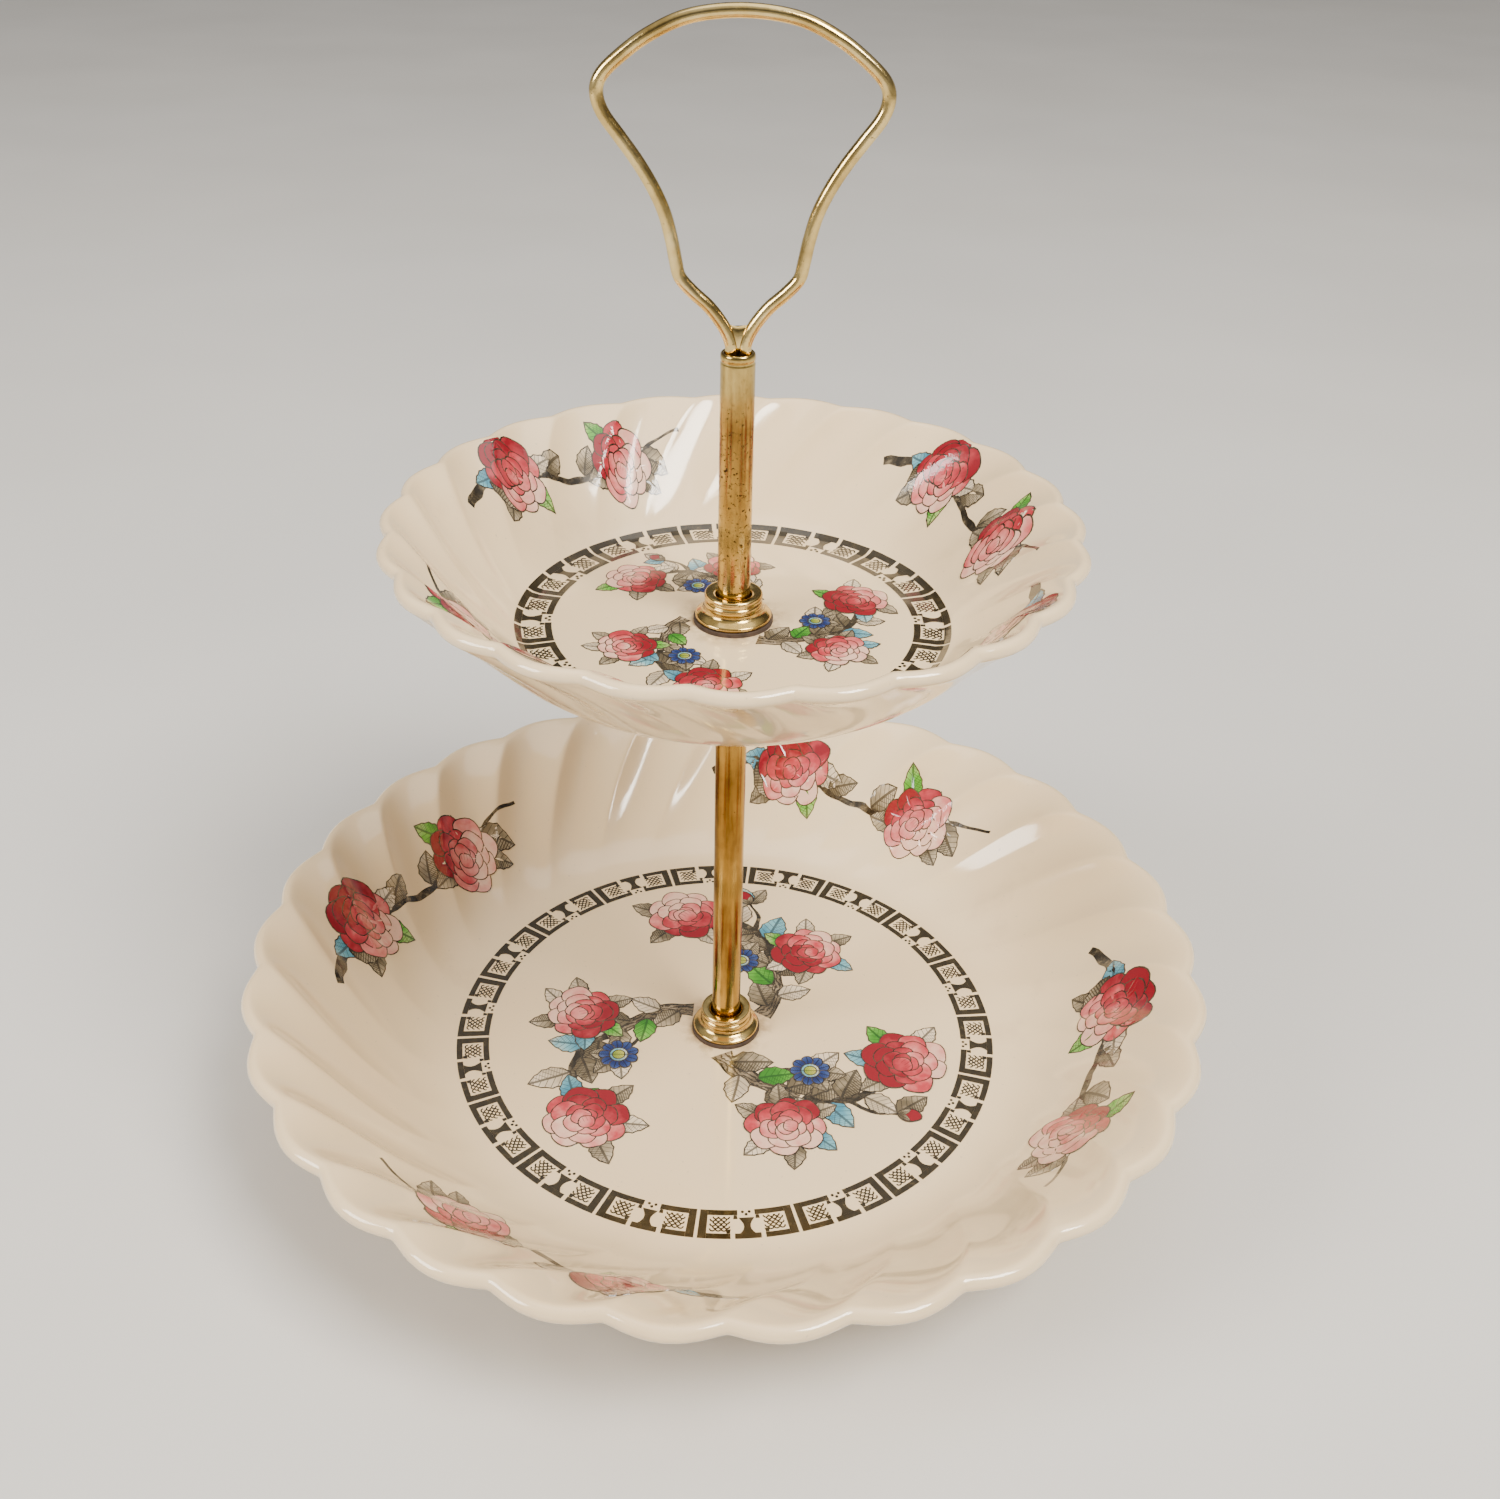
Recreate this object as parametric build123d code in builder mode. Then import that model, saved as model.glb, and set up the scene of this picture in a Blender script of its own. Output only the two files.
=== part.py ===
"""Two-tier cake stand: two scalloped bowls on a screwed brass stem with a wire loop handle.

Millimetres. +Z is up, the stem is the Z axis and z = 0 is the surface that the foot ring rests on.
The handle's loop lies in the XZ plane.
"""
import os
from math import atan, cos, pi, radians, sin

from build123d import *

# ---------------------------------------------------------------- lower bowl
LOWER_RIM_R = 106.5  # to the lobes' peaks
LOWER_WELL_R = 62.7  # flat floor inside the sloping side
LOWER_DEPTH = 27.3  # floor to rim
LOWER_CURVE = 2.4  # power of the side's rise from the well
LOWER_FLARE = 0.6  # slope at the rim, as a share of the side's mean slope
LOWER_WALL = 3.6
LOWER_FLOOR = 4.5
LOWER_LOBES = 30
LOWER_NOTCH = 2.6
LOWER_NOTCH_ANGLE = 6.7  # where one notch meets the rim, degrees from +X
LOWER_FOOT_R = 58.0
LOWER_FOOT_WIDTH = 4.0
LOWER_FOOT_HEIGHT = 5.0

# ---------------------------------------------------------------- upper bowl
UPPER_RIM_R = 67.6
UPPER_WELL_R = 41.0
UPPER_DEPTH = 22.3
UPPER_CURVE = 1.5
UPPER_FLARE = 0.9
UPPER_WALL = 2.8
UPPER_FLOOR = 2.8
UPPER_LOBES = 24
UPPER_NOTCH = 1.9
UPPER_NOTCH_ANGLE = 8.7
UPPER_FOOT_R = 33.0
UPPER_FOOT_WIDTH = 3.0
UPPER_FOOT_HEIGHT = 3.5

# ---------------------------------------------------------------- both bowls
SWIRL = 21.0  # degrees that a flute turns from the rim down to the well
SIDE_STEPS = (0.0, 0.2, 0.4, 0.6, 0.8, 1.0)  # where the side's sections stand, well to rim
POINTS_PER_LOBE = 4
FLUTE_FADE = 1.5  # power with which the flutes fade from the rim to the well
CENTRE_HOLE_R = 3.5  # drilled hole for the stem

# ---------------------------------------------------------------- stem
TIER_PITCH = 108.5  # floor of the lower bowl to floor of the upper bowl
TUBE_R = 3.25
TUBE_WALL = 0.7
UPPER_TUBE_TOP = 54.5  # above the floor of the upper bowl
THREAD_R = 2.0
THREAD_PITCH = 0.7
HANDLE_THREAD = 4.2  # length of stud that the handle screws onto
BUSH_LENGTH = 9.0
STUD_HOLD = 7.0  # length of stud held in the lower tube
SCREW_HOLD = 6.0  # length of screw held in the lower tube

COLLAR_BASE_R = 7.6
COLLAR_EDGE = 0.8  # upright edge round the collar's base
COLLAR_CONE_HEIGHT = 1.5  # cone above that edge
COLLAR_BEAD_R = 5.8
COLLAR_BEAD_HEIGHT = 1.6
COLLAR_BEADS = 2
COLLAR_GROOVE = 0.5  # groove between beads, below their crests
COLLAR_SEAT = 1.6  # thickness of the collar under the tube's end

PAD_THICKNESS = 0.8
TOP_PAD_R = 7.9
BOTTOM_PAD_R = 9.5
SUPPORT_WASHER_R = 10.0
SUPPORT_WASHER_THICKNESS = 1.5
BASE_WASHER_R = 10.5
BASE_WASHER_THICKNESS = 1.2
SCREW_HEAD_R = 4.2
SCREW_HEAD_HEIGHT = 2.2
SCREW_SLOT_WIDTH = 1.0
SCREW_SLOT_DEPTH = 1.1

# ---------------------------------------------------------------- handle
WIRE_R = 1.2
LOOP_HEIGHT = 57.5  # tube's end to the outside of the loop's top
LOOP_HALF_WIDTH = 25.5
WAIST_HALF_WIDTH = 11.9
WAIST_HEIGHT = 12.9  # tube's end to the loop's lower corners, at the wire's centre line
WAIST_BEND = 2.2
NECK_HEIGHT = 2.2  # tube's end to where the legs meet
NECK_BEND = 4.0
SHOULDER_BEND = 8.0  # between the waist and the neck
WEB_HEIGHT = 4.2  # tube's end to the top of the brazed web between the legs
WEB_THICKNESS = 1.6
LEG_DEPTH = 14.0  # legs inside the tube

# ---------------------------------------------------------------- clearances
FIT_GAP = 0.05  # radial, metal in metal
CLEAR_GAP = 0.4  # radial, washers and pads over the stud

# ---------------------------------------------------------------- heights worked out
LOWER_UNDERSIDE_Z = LOWER_FOOT_HEIGHT
LOWER_FLOOR_Z = LOWER_UNDERSIDE_Z + LOWER_FLOOR
UPPER_FLOOR_Z = LOWER_FLOOR_Z + TIER_PITCH
UPPER_UNDERSIDE_Z = UPPER_FLOOR_Z - UPPER_FLOOR
LOWER_COLLAR_Z = LOWER_FLOOR_Z + PAD_THICKNESS
UPPER_COLLAR_Z = UPPER_FLOOR_Z + PAD_THICKNESS
COLLAR_HEIGHT = COLLAR_EDGE + COLLAR_CONE_HEIGHT + COLLAR_BEADS * COLLAR_BEAD_HEIGHT
SUPPORT_WASHER_Z = UPPER_UNDERSIDE_Z - PAD_THICKNESS - SUPPORT_WASHER_THICKNESS
LOWER_TUBE_Z = LOWER_COLLAR_Z + COLLAR_SEAT
UPPER_TUBE_Z = UPPER_COLLAR_Z + COLLAR_SEAT
UPPER_TUBE_END_Z = UPPER_FLOOR_Z + UPPER_TUBE_TOP
BASE_WASHER_Z = LOWER_UNDERSIDE_Z - PAD_THICKNESS - BASE_WASHER_THICKNESS
BORE_R = TUBE_R - TUBE_WALL
BUSH_R = BORE_R - FIT_GAP
THREAD_HOLE_R = THREAD_R + FIT_GAP
CLEAR_HOLE_R = THREAD_R + CLEAR_GAP


def side_rise(curve, flare, step):
    """Share of the depth that the side has risen; step is 0 at the well and 1 at the rim."""
    return step**curve * (1 + (curve - flare) * (1 - step))


def side_slope(curve, flare, steepness, step):
    """Angle of the side from level, in radians; steepness is the depth over the side's width."""
    lift = curve * step ** (curve - 1) * (1 + (curve - flare) * (1 - step))
    return atan(steepness * (lift - (curve - flare) * step**curve))


def lobed_face(z, radius, notch, lobes, first_angle):
    """Level face with a lobed outline; its first notch is at first_angle degrees."""
    count = lobes * POINTS_PER_LOBE
    points = []
    for index in range(count):
        reach = abs(sin(pi * (index % POINTS_PER_LOBE) / POINTS_PER_LOBE))
        r = radius - notch * (1 - reach)
        angle = radians(first_angle) + 2 * pi * index / count
        points.append((r * cos(angle), r * sin(angle)))
    with BuildSketch(Plane.XY.offset(z)) as section:
        with BuildLine():
            Spline(*points, periodic=True)
        make_face()
    return section.sketch.face()


def outer_sections(floor_z, well_r, rim_r, depth, curve, flare, wall, floor, notch, lobes, first_angle):
    """Sections of the bowl's outside, from under its well up to the underside of its lip."""
    run = rim_r - wall - well_r
    faces = []
    for step in SIDE_STEPS:
        slope = side_slope(curve, flare, depth / run, step)
        thickness = floor + (wall - floor) * step
        radius = min(well_r + run * step + thickness * sin(slope), rim_r)
        z = floor_z + depth * side_rise(curve, flare, step) - thickness * cos(slope)
        if step == SIDE_STEPS[-1]:
            radius = rim_r
        turn = first_angle + SWIRL * (1 - step)
        faces.append(lobed_face(z, radius, notch * step**FLUTE_FADE, lobes, turn))
    return faces


def inner_sections(floor_z, well_r, rim_r, depth, curve, flare, wall, notch, lobes, first_angle):
    """Sections of the bowl's hollow, from its floor up to its rim."""
    run = rim_r - wall - well_r
    faces = []
    for step in SIDE_STEPS:
        z = floor_z + depth * side_rise(curve, flare, step)
        turn = first_angle + SWIRL * (1 - step)
        faces.append(lobed_face(z, well_r + run * step, notch * step**FLUTE_FADE, lobes, turn))
    return faces


def collar_face(base_z):
    """Half section of a turned collar: flared base, rounded beads and a socket for the tube."""
    with BuildSketch(Plane.XZ) as section:
        with BuildLine():
            cone_top = base_z + COLLAR_EDGE + COLLAR_CONE_HEIGHT
            groove_r = COLLAR_BEAD_R - COLLAR_GROOVE
            Polyline(
                (CLEAR_HOLE_R, base_z),
                (COLLAR_BASE_R, base_z),
                (COLLAR_BASE_R, base_z + COLLAR_EDGE),
                (groove_r, cone_top),
            )
            for bead in range(COLLAR_BEADS):
                bottom = cone_top + bead * COLLAR_BEAD_HEIGHT
                ThreePointArc(
                    (groove_r, bottom),
                    (COLLAR_BEAD_R, bottom + COLLAR_BEAD_HEIGHT / 2),
                    (groove_r, bottom + COLLAR_BEAD_HEIGHT),
                )
            Polyline(
                (groove_r, base_z + COLLAR_HEIGHT),
                (TUBE_R + FIT_GAP, base_z + COLLAR_HEIGHT),
                (TUBE_R + FIT_GAP, base_z + COLLAR_SEAT),
                (CLEAR_HOLE_R, base_z + COLLAR_SEAT),
                (CLEAR_HOLE_R, base_z),
            )
        make_face()
    return section.sketch.face()


# ---------------------------------------------------------------- lower bowl

with BuildPart() as lower_bowl:
    lower_shape = (LOWER_FLOOR_Z, LOWER_WELL_R, LOWER_RIM_R, LOWER_DEPTH, LOWER_CURVE, LOWER_FLARE, LOWER_WALL)
    lower_flutes = (LOWER_NOTCH, LOWER_LOBES, LOWER_NOTCH_ANGLE)
    lower_outside = outer_sections(*lower_shape, LOWER_FLOOR, *lower_flutes)
    loft(sections=lower_outside)
    lower_lip_height = LOWER_FLOOR_Z + LOWER_DEPTH - lower_outside[-1].center().Z
    extrude(lower_outside[-1], amount=lower_lip_height, dir=(0, 0, 1))
    loft(sections=inner_sections(*lower_shape, *lower_flutes), mode=Mode.SUBTRACT)
    with BuildSketch(Plane.XY):
        Circle(LOWER_FOOT_R)
        Circle(LOWER_FOOT_R - LOWER_FOOT_WIDTH, mode=Mode.SUBTRACT)
    extrude(amount=LOWER_FOOT_HEIGHT + LOWER_FLOOR / 2)
    foot_edges = lower_bowl.edges().group_by(Axis.Z)[0]
    fillet(foot_edges, radius=LOWER_FOOT_WIDTH / 4)
    with Locations((0, 0, LOWER_FLOOR_Z)):
        Hole(CENTRE_HOLE_R, depth=LOWER_FLOOR)
lower_bowl.part.label = "lower_bowl"

with BuildPart() as lower_pad_top:
    with BuildSketch(Plane.XY.offset(LOWER_FLOOR_Z)):
        Circle(TOP_PAD_R)
        Circle(CLEAR_HOLE_R, mode=Mode.SUBTRACT)
    extrude(amount=PAD_THICKNESS)
lower_pad_top.part.label = "lower_pad_top"

with BuildPart() as lower_pad_bottom:
    with BuildSketch(Plane.XY.offset(LOWER_UNDERSIDE_Z)):
        Circle(BOTTOM_PAD_R)
        Circle(CLEAR_HOLE_R, mode=Mode.SUBTRACT)
    extrude(amount=-PAD_THICKNESS)
lower_pad_bottom.part.label = "lower_pad_bottom"

# ---------------------------------------------------------------- upper bowl

with BuildPart() as upper_bowl:
    upper_shape = (UPPER_FLOOR_Z, UPPER_WELL_R, UPPER_RIM_R, UPPER_DEPTH, UPPER_CURVE, UPPER_FLARE, UPPER_WALL)
    upper_flutes = (UPPER_NOTCH, UPPER_LOBES, UPPER_NOTCH_ANGLE)
    upper_outside = outer_sections(*upper_shape, UPPER_FLOOR, *upper_flutes)
    loft(sections=upper_outside)
    upper_lip_height = UPPER_FLOOR_Z + UPPER_DEPTH - upper_outside[-1].center().Z
    extrude(upper_outside[-1], amount=upper_lip_height, dir=(0, 0, 1))
    loft(sections=inner_sections(*upper_shape, *upper_flutes), mode=Mode.SUBTRACT)
    with BuildSketch(Plane.XY.offset(UPPER_UNDERSIDE_Z - UPPER_FOOT_HEIGHT)):
        Circle(UPPER_FOOT_R)
        Circle(UPPER_FOOT_R - UPPER_FOOT_WIDTH, mode=Mode.SUBTRACT)
    extrude(amount=UPPER_FOOT_HEIGHT + UPPER_FLOOR / 2)
    foot_edges = upper_bowl.edges().group_by(Axis.Z)[0]
    fillet(foot_edges, radius=UPPER_FOOT_WIDTH / 4)
    with Locations((0, 0, UPPER_FLOOR_Z)):
        Hole(CENTRE_HOLE_R, depth=UPPER_FLOOR)
upper_bowl.part.label = "upper_bowl"

with BuildPart() as upper_pad_top:
    with BuildSketch(Plane.XY.offset(UPPER_FLOOR_Z)):
        Circle(TOP_PAD_R)
        Circle(CLEAR_HOLE_R, mode=Mode.SUBTRACT)
    extrude(amount=PAD_THICKNESS)
upper_pad_top.part.label = "upper_pad_top"

with BuildPart() as upper_pad_bottom:
    with BuildSketch(Plane.XY.offset(UPPER_UNDERSIDE_Z)):
        Circle(BOTTOM_PAD_R)
        Circle(CLEAR_HOLE_R, mode=Mode.SUBTRACT)
    extrude(amount=-PAD_THICKNESS)
upper_pad_bottom.part.label = "upper_pad_bottom"

# ---------------------------------------------------------------- lower stem

with BuildPart() as lower_collar:
    revolve(profiles=collar_face(LOWER_COLLAR_Z), axis=Axis.Z)
lower_collar.part.label = "lower_collar"

with BuildPart() as lower_tube:
    with BuildSketch(Plane.XY.offset(LOWER_TUBE_Z)):
        Circle(TUBE_R)
        Circle(BORE_R, mode=Mode.SUBTRACT)
    extrude(amount=SUPPORT_WASHER_Z - LOWER_TUBE_Z)
lower_tube.part.label = "lower_tube"

with BuildPart() as foot_bush:
    with BuildSketch(Plane.XY.offset(LOWER_TUBE_Z)):
        Circle(BUSH_R)
        Circle(THREAD_HOLE_R, mode=Mode.SUBTRACT)
    extrude(amount=BUSH_LENGTH)
foot_bush.part.label = "foot_bush"

with BuildPart() as head_bush:
    with BuildSketch(Plane.XY.offset(SUPPORT_WASHER_Z)):
        Circle(BUSH_R)
        Circle(THREAD_HOLE_R, mode=Mode.SUBTRACT)
    extrude(amount=-BUSH_LENGTH)
head_bush.part.label = "head_bush"

with BuildPart() as base_washer:
    with BuildSketch(Plane.XY.offset(BASE_WASHER_Z)):
        Circle(BASE_WASHER_R)
        Circle(CLEAR_HOLE_R, mode=Mode.SUBTRACT)
    extrude(amount=BASE_WASHER_THICKNESS)
base_washer.part.label = "base_washer"

with BuildPart() as base_screw:
    with BuildSketch(Plane.XY.offset(BASE_WASHER_Z)):
        Circle(THREAD_R)
    extrude(amount=LOWER_TUBE_Z + SCREW_HOLD - BASE_WASHER_Z)
    chamfer(base_screw.edges().group_by(Axis.Z)[-1], length=THREAD_R / 5)
    with BuildSketch(Plane.XY.offset(BASE_WASHER_Z)):
        Circle(SCREW_HEAD_R)
    extrude(amount=-SCREW_HEAD_HEIGHT)
    fillet(base_screw.edges().group_by(Axis.Z)[0], radius=SCREW_HEAD_HEIGHT / 3)
    with BuildSketch(Plane.XY.offset(BASE_WASHER_Z - SCREW_HEAD_HEIGHT)):
        Rectangle(2 * SCREW_HEAD_R, SCREW_SLOT_WIDTH)
    extrude(amount=SCREW_SLOT_DEPTH, mode=Mode.SUBTRACT)
base_screw.part.label = "base_screw"

with BuildPart() as support_washer:
    with BuildSketch(Plane.XY.offset(SUPPORT_WASHER_Z)):
        Circle(SUPPORT_WASHER_R)
        Circle(THREAD_HOLE_R, mode=Mode.SUBTRACT)
    extrude(amount=SUPPORT_WASHER_THICKNESS)
    lower_rim = support_washer.edges().group_by(Axis.Z)[0].sort_by(SortBy.LENGTH)[-1]
    fillet(lower_rim, radius=SUPPORT_WASHER_THICKNESS / 2)
support_washer.part.label = "support_washer"

with BuildPart() as joining_stud:
    with BuildSketch(Plane.XY.offset(SUPPORT_WASHER_Z - STUD_HOLD)):
        Circle(THREAD_R)
    extrude(amount=UPPER_TUBE_Z + HANDLE_THREAD - SUPPORT_WASHER_Z + STUD_HOLD)
    stud_ends = joining_stud.edges().filter_by(GeomType.CIRCLE)
    chamfer(stud_ends, length=THREAD_R / 5)
joining_stud.part.label = "joining_stud"

# ---------------------------------------------------------------- upper stem and handle

with BuildPart() as upper_collar:
    revolve(profiles=collar_face(UPPER_COLLAR_Z), axis=Axis.Z)
upper_collar.part.label = "upper_collar"

with BuildPart() as upper_tube:
    with BuildSketch(Plane.XY.offset(UPPER_TUBE_Z)):
        Circle(TUBE_R)
        Circle(BORE_R, mode=Mode.SUBTRACT)
    extrude(amount=UPPER_TUBE_END_Z - UPPER_TUBE_Z)
    rolled_edge = upper_tube.edges().group_by(Axis.Z)[-1].sort_by(SortBy.LENGTH)[-1]
    fillet(rolled_edge, radius=TUBE_WALL / 2)
upper_tube.part.label = "upper_tube"

with BuildPart() as upper_tube_bush:
    with BuildSketch(Plane.XY.offset(UPPER_TUBE_Z)):
        Circle(BUSH_R)
        Circle(THREAD_HOLE_R, mode=Mode.SUBTRACT)
    extrude(amount=BUSH_LENGTH)
upper_tube_bush.part.label = "upper_tube_bush"

# The loop's centre line runs from the middle of its top round one side and down its leg in the
# tube. The other side mirrors it.
top_z = UPPER_TUBE_END_Z + LOOP_HEIGHT - WIRE_R
wide_x = LOOP_HALF_WIDTH - WIRE_R
waist_x = WAIST_HALF_WIDTH - WIRE_R
corner_z = UPPER_TUBE_END_Z + WAIST_HEIGHT
waist_z = corner_z + 1.25 * WAIST_BEND
leg_x = WIRE_R + FIT_GAP
neck_z = UPPER_TUBE_END_Z + NECK_HEIGHT
leg_z = UPPER_TUBE_END_Z - LEG_DEPTH


def side_point(across, up):
    """Point on the loop's side: across is 0 at the waist and 1 at the widest, up 1 at the top."""
    return (waist_x + (wide_x - waist_x) * across, waist_z + (top_z - waist_z) * up)


with BuildPart() as handle_loop:
    with BuildLine(Plane.XZ) as side_wire:
        side_curve = Spline(
            (0, top_z),
            (wide_x * 0.64, waist_z + (top_z - waist_z) * 0.904),
            side_point(0.93, 0.75),
            side_point(1, 0.68),
            side_point(0.875, 0.58),
            side_point(0.40, 0.365),
            side_point(0.137, 0.158),
            side_point(0.022, 0),
            tangents=((1, 0), (-0.12, -1)),
        )
        FilletPolyline(
            side_curve @ 1,
            (waist_x, corner_z),
            (waist_x * 0.47, neck_z + (corner_z - neck_z) * 0.53),
            (leg_x, neck_z),
            (leg_x, leg_z),
            radius=(WAIST_BEND, SHOULDER_BEND, NECK_BEND),
        )
    with BuildSketch(Plane.YZ):
        with Locations((0, top_z)):
            Circle(WIRE_R)
    sweep(path=side_wire.wires()[0])
    mirror(about=Plane.YZ)
    with BuildSketch(Plane.XZ):
        with BuildLine():
            Polyline(
                (-2 * leg_x, UPPER_TUBE_END_Z + WEB_HEIGHT),
                (2 * leg_x, UPPER_TUBE_END_Z + WEB_HEIGHT),
                (leg_x, UPPER_TUBE_END_Z),
                (-leg_x, UPPER_TUBE_END_Z),
                close=True,
            )
        make_face()
    extrude(amount=WEB_THICKNESS / 2, both=True)
handle_loop.part.label = "handle_loop"

# ---------------------------------------------------------------- output

pieces = (
    lower_bowl,
    lower_pad_top,
    lower_pad_bottom,
    upper_bowl,
    upper_pad_top,
    upper_pad_bottom,
    lower_collar,
    lower_tube,
    foot_bush,
    head_bush,
    base_washer,
    base_screw,
    support_washer,
    joining_stud,
    upper_collar,
    upper_tube,
    upper_tube_bush,
    handle_loop,
)
os.makedirs("parts", exist_ok=True)
for piece in pieces:
    export_step(piece.part, f"parts/{piece.part.label}.step")
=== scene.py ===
import math
import random

import bpy
from mathutils import Matrix, Vector


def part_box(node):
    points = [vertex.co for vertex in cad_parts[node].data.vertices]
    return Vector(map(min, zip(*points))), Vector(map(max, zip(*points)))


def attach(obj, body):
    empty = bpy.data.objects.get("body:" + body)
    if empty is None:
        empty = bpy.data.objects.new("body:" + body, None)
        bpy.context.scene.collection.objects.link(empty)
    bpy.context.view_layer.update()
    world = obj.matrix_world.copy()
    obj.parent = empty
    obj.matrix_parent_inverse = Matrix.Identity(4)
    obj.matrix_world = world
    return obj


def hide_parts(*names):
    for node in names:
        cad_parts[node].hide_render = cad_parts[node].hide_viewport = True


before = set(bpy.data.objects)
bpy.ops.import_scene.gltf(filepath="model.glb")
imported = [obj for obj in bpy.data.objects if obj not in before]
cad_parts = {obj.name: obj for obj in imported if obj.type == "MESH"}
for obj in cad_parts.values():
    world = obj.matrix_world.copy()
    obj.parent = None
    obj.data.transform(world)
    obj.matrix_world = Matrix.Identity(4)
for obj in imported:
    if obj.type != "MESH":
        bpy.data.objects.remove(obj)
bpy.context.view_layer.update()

MM = 0.001

# ------------------------------------------------------------------ the bowls' shape
# Lengths are in millimetres here and become metres when a mesh is made. A bowl's floor is flat
# out to its well. The side then rises in a soft S to the rim, and its flutes twist on the way.

SWIRL = math.radians(21)
FLUTE_FADE = 1.6
RIDGE_ROUND = 0.008
HOLE_R = 3.5
HOLE_ROUND = 0.5
FLOOR_ROWS = 9
SIDE_ROWS = 48
LIP_ROWS = 12
SECTOR_COLUMNS = 14
RIDGE_HEIGHT = 0.60
LIP_ANGLE = math.radians(30)


class Bowl:
    """Measures of one bowl, and the height and normal of its inside."""

    def __init__(
        self, node, body, well, curve, flare, wall, floor, lobes, notch, notch_angle, foot_r, foot_width
    ):
        low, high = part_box(node)
        self.node = node
        self.body = body
        self.rim = (high.x - low.x) / 2 / MM
        self.top = high.z / MM
        self.base = low.z / MM
        self.well = well
        self.curve = curve
        self.flare = flare
        self.wall = wall
        self.thickness = floor
        self.lobes = lobes
        self.notch = notch
        self.notch_angle = math.radians(notch_angle)
        self.foot_r = foot_r
        self.foot_width = foot_width

    def settle(self, floor_z):
        """Works out where the side ends, so that the rounded lip touches the rim's height and radius."""
        self.floor = floor_z
        slope = LIP_ANGLE
        for _ in range(8):
            self.run = self.rim - self.wall / 2 * (1 + math.sin(slope)) - self.well
            self.rise = self.top - self.wall / 2 * (1 - math.cos(slope)) - floor_z
            slope = math.atan2(self.rise * self.flare, self.run)
        self.lip_slope = slope

    def flute(self, way, angle):
        """How far a flute pulls the wall in: way is 0 at the well, 1 at the rim."""
        if way <= 0:
            return 0.0
        return self.notch * way**FLUTE_FADE * (1 - self.hollow(way, angle))

    def hollow(self, way, angle):
        """0 on the ridge between two flutes, 1 in the middle of a flute."""
        turn = self.notch_angle + SWIRL * (1 - way)
        wave = math.sin((angle - turn) * self.lobes / 2)
        return math.sqrt(wave * wave + RIDGE_ROUND) / math.sqrt(1 + RIDGE_ROUND)

    def ridge(self, way, angle):
        """How far the ridges stand up on the inside, short of the lip."""
        if way <= 0:
            return 0.0
        return RIDGE_HEIGHT * self.notch * way**1.5 * (1 - way**8) * (1 - self.hollow(way, angle))

    def climb(self, way):
        """Share of the depth that the side has risen."""
        return way**self.curve * (1 + (self.curve - self.flare) * (1 - way))

    def side(self, way):
        """Radius, height and slope of the inside, without flutes."""
        pull = self.curve - self.flare
        lean = self.curve * way ** (self.curve - 1) * (1 + pull * (1 - way)) - pull * way**self.curve
        height = self.floor + self.rise * self.climb(way)
        return self.well + self.run * way, height, math.atan2(self.rise * lean, self.run)

    def height(self, x, y):
        """Height of the inside above a point of the plan."""
        r = math.hypot(x, y)
        angle = math.atan2(y, x)
        way = (r - self.well) / self.run
        for _ in range(6):
            if way <= 0:
                return self.floor
            way = min((r + self.flute(way, angle) - self.well) / self.run, 1)
        way = max(way, 0)
        return self.floor + self.rise * self.climb(way) + self.ridge(way, angle)

    def lifted(self, x, y, lift):
        """Point of the inside over (x, y), raised along the surface's normal."""
        step = 0.2
        z = self.height(x, y)
        slope_x = (self.height(x + step, y) - z) / step
        slope_y = (self.height(x, y + step) - z) / step
        size = math.sqrt(1 + slope_x**2 + slope_y**2)
        return (x - lift * slope_x / size, y - lift * slope_y / size, z + lift / size)


lower = Bowl("lower_bowl", "lower_tier", 62.7, 2.4, 0.6, 3.6, 4.5, 30, 2.6, 6.7, 58.0, 4.0)
upper = Bowl("upper_bowl", "upper_tier", 41.0, 1.5, 0.9, 2.8, 2.8, 24, 1.9, 8.7, 33.0, 3.0)
lower.settle(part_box("lower_pad_top")[0].z / MM)
upper.settle(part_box("upper_pad_top")[0].z / MM)


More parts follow.
